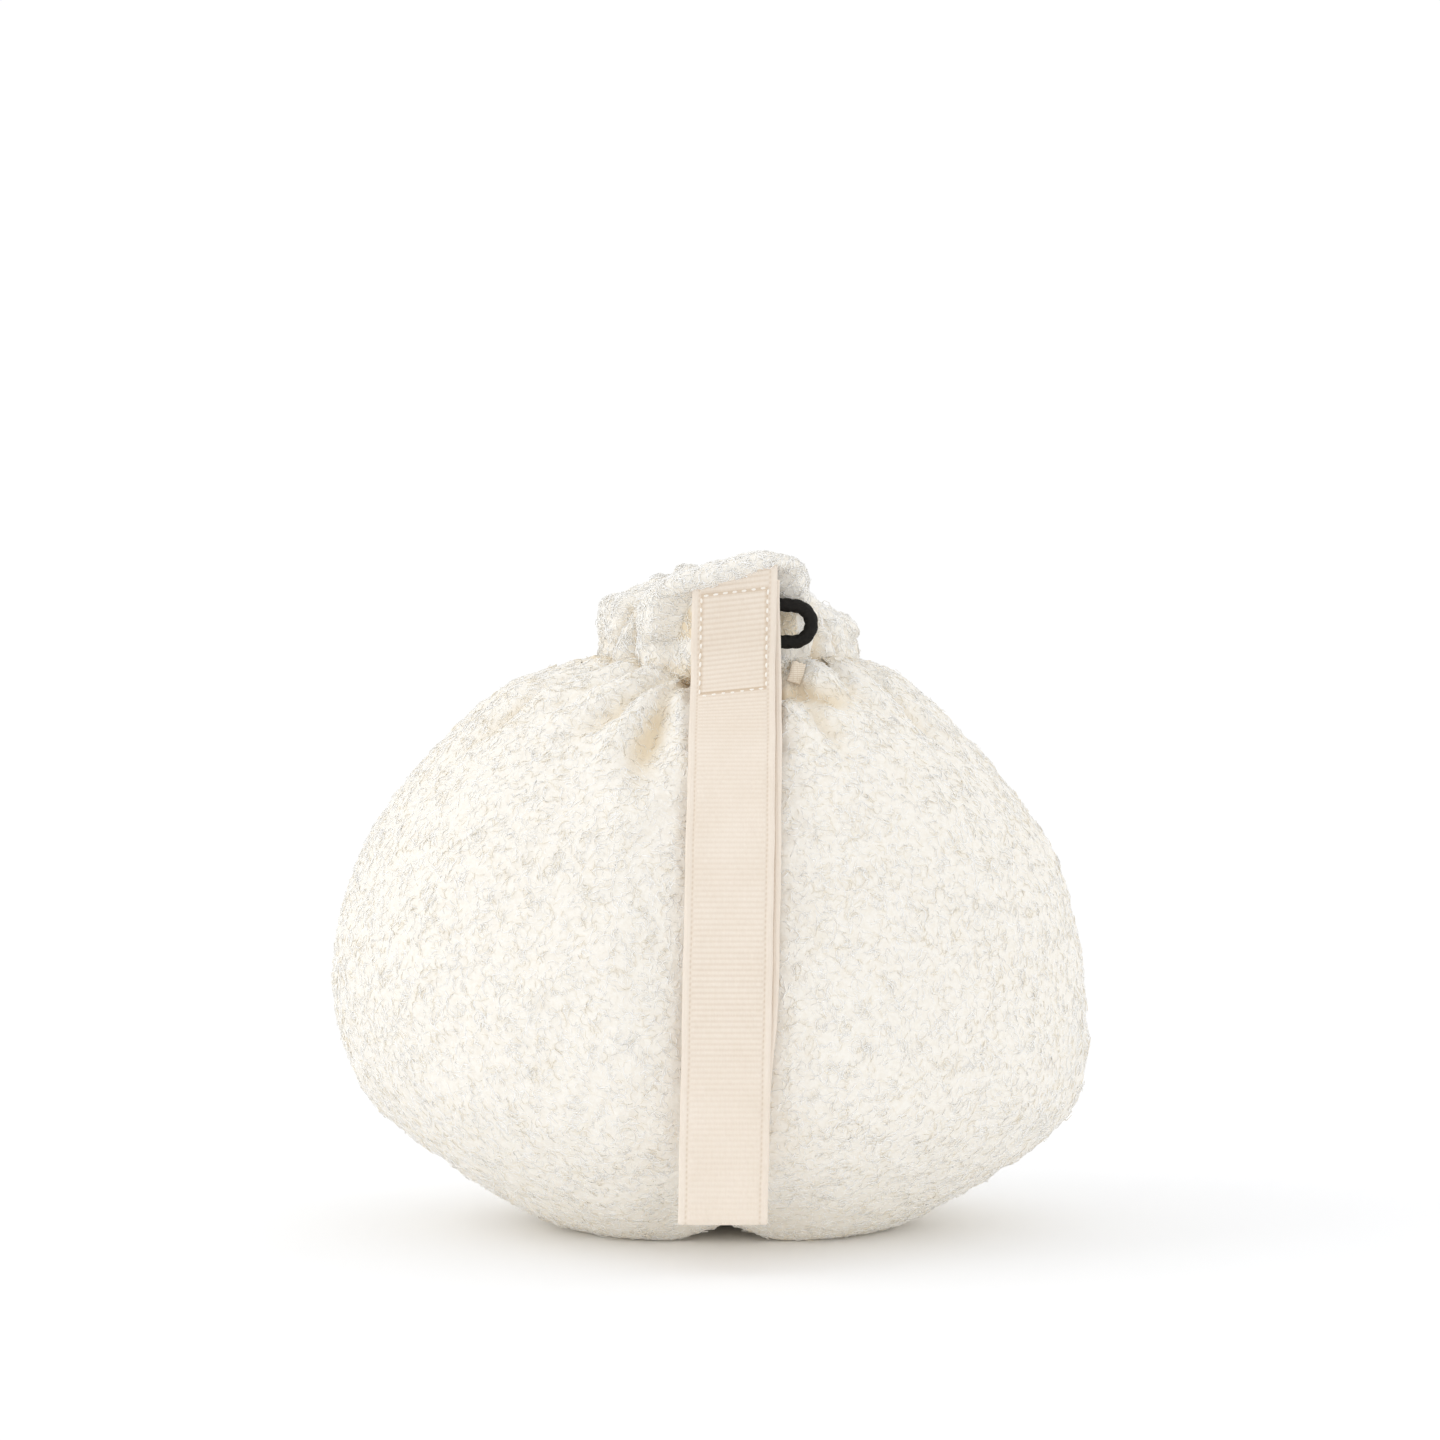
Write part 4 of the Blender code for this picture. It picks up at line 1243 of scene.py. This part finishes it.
def braided_tube(line, radius):
    """A round braid along a line, with its strands standing proud where they pass over."""
    sides, half = BRAID_SIDES, BRAID_STRANDS / 2
    length = lengths(line)[-1]
    places = np.linspace(0, length, int(length / BRAID_STEP))
    run = resample(line, places)
    along = unit(np.gradient(run, axis=0))
    side = unit(np.cross(along, np.array([0.0, 1.0, 0.0])))
    up = np.cross(side, along)
    turn = np.linspace(0, math.tau, sides, endpoint=False)
    wind = math.tau * places[:, None] / BRAID_PITCH
    right = np.cos(half * turn[None, :] + wind * half / 2)
    left = np.cos(half * turn[None, :] - wind * half / 2)
    size = radius * (0.955 + 0.055 * np.maximum(right, left))
    round_it = np.cos(turn)[None, :, None] * side[:, None, :] + np.sin(turn)[None, :, None] * up[:, None, :]
    ring = run[:, None, :] + size[..., None] * round_it
    rows = len(run)
    points = np.vstack([ring.reshape(-1, 3), run[:1], run[-1:]])
    return points, grid_quads(rows, sides, wrap=True), end_fans(rows, sides)[:, ::-1], run


def make_pull_loop(cloth):
    r, z = LOOP_HALF_HEIGHT, LOOP_HEIGHT
    slope = ((LOOP_LEFT, 0.0011), (0.0080, 0.0009), (0.0130, 0.0004))
    upper = [(x, LEG_Y, z + r + rise) for x, rise in slope]
    turns = np.linspace(math.pi / 2, -math.pi / 2, 9)
    bend = [(LOOP_BEND_X + r * math.cos(a), LEG_Y, z + r * math.sin(a)) for a in turns]
    lower = [(x, LEG_Y, z - r) for x, _ in slope[::-1]]
    line = smooth_line([*upper, *bend, *lower], 12)
    points, quads, tris, run = braided_tube(line, CORD_RADIUS)
    loop = add_object("pull_cord_loop", points, quads, tris, material=cloth)
    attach(loop, "pull_loop")
    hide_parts("pull_loop")


TAB_ROWS, TAB_COLUMNS = 26, 22
TAB_PLACE = (0.0190, -0.0302, 0.1216)
TAB_TILT, TAB_LEAN = math.radians(-14), math.radians(34)


def make_tape_tab(cloth):
    """The end of the casing tape, which shows between the gathers under the cord."""
    rows, columns = TAB_ROWS, TAB_COLUMNS
    u = np.linspace(-1, 1, columns)[None, :]
    v = np.linspace(-1, 1, rows)[:, None]
    x = 0.0018 * u + 0.0002 * v
    z = 0.0023 * v + 0.00012 * np.sin(9 * u) * (v > 0.9)
    bow = 0.0004 * u**2 + 0.0003 * v**2
    weave = 0.00004 * np.cos(20 * math.pi * v) * np.cos(16 * math.pi * u)
    sides = []
    for face in (1, -1):
        y = bow - face * (0.00028 * np.sqrt(1 - np.clip(np.abs(u), 0, 1) ** 6 * 0.95) + weave)
        sides.append(np.stack(np.broadcast_arrays(x, y, z), axis=-1))
    points = np.vstack([side.reshape(-1, 3) for side in sides])
    c, s = math.cos(TAB_TILT), math.sin(TAB_TILT)
    turn = np.array([[c, 0, -s], [0, 1, 0], [s, 0, c]])
    c, s = math.cos(TAB_LEAN), math.sin(TAB_LEAN)
    yaw = np.array([[c, -s, 0], [s, c, 0], [0, 0, 1]])
    points = points @ turn.T @ yaw.T + np.array(TAB_PLACE)
    tab = add_object("casing_tape_end", points, sheet_quads(rows, columns), material=cloth)
    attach(tab, "pouch")


# ---------------------------------------------------------------- pieces that stay as the CAD has them
def dress_nodes(thread, cord, tape):
    looks = {
        "sachet_tie": thread,
        "casing_thread_lower": thread,
        "casing_thread_upper": thread,
        "drawstring": cord,
        "drawstring_knot": cord,
        "casing_tape": tape,
        "herb_sachet": woven("muslin_weave", (0.55, 0.46, 0.33), (0.80, 0.73, 0.60), 380, 0.0003),
        "herb_filling": herb_mix(),
    }
    for node, material in looks.items():
        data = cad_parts[node].data
        data.materials.clear()
        data.materials.append(material)


def main():
    add_camera()
    add_stage()
    skin = plush_skin()
    thread = thread_cloth("sewing_thread", (0.90, 0.85, 0.77), (0.965, 0.93, 0.875))
    cord = cord_cloth()
    tape = woven("casing_weave", (0.66, 0.55, 0.42), (0.86, 0.78, 0.66), 700, 0.00012, 0.75)
    make_pull_loop(cord)
    settled = cloth_settle()
    tones_and_shade = [pile_tone(f"plush_tone_and_shade_{letter}", colour) for letter, colour in TONES_AND_SHADE]
    grids = make_cover(skin, settled)
    for seed, side, grid in zip((101, 202), ("left", "right"), grids):
        cover_pile(side, grid, tones_and_shade, seed)
    make_seam(grids[0], thread)
    collar_pile(make_collar(skin), tones_and_shade)
    hem_pile(make_front_hem(skin), tones_and_shade)
    front = make_strap(ribbon_cloth())
    make_stitches(front, thread)
    make_tape_tab(tape)
    dress_nodes(thread, cord, tape)


main()
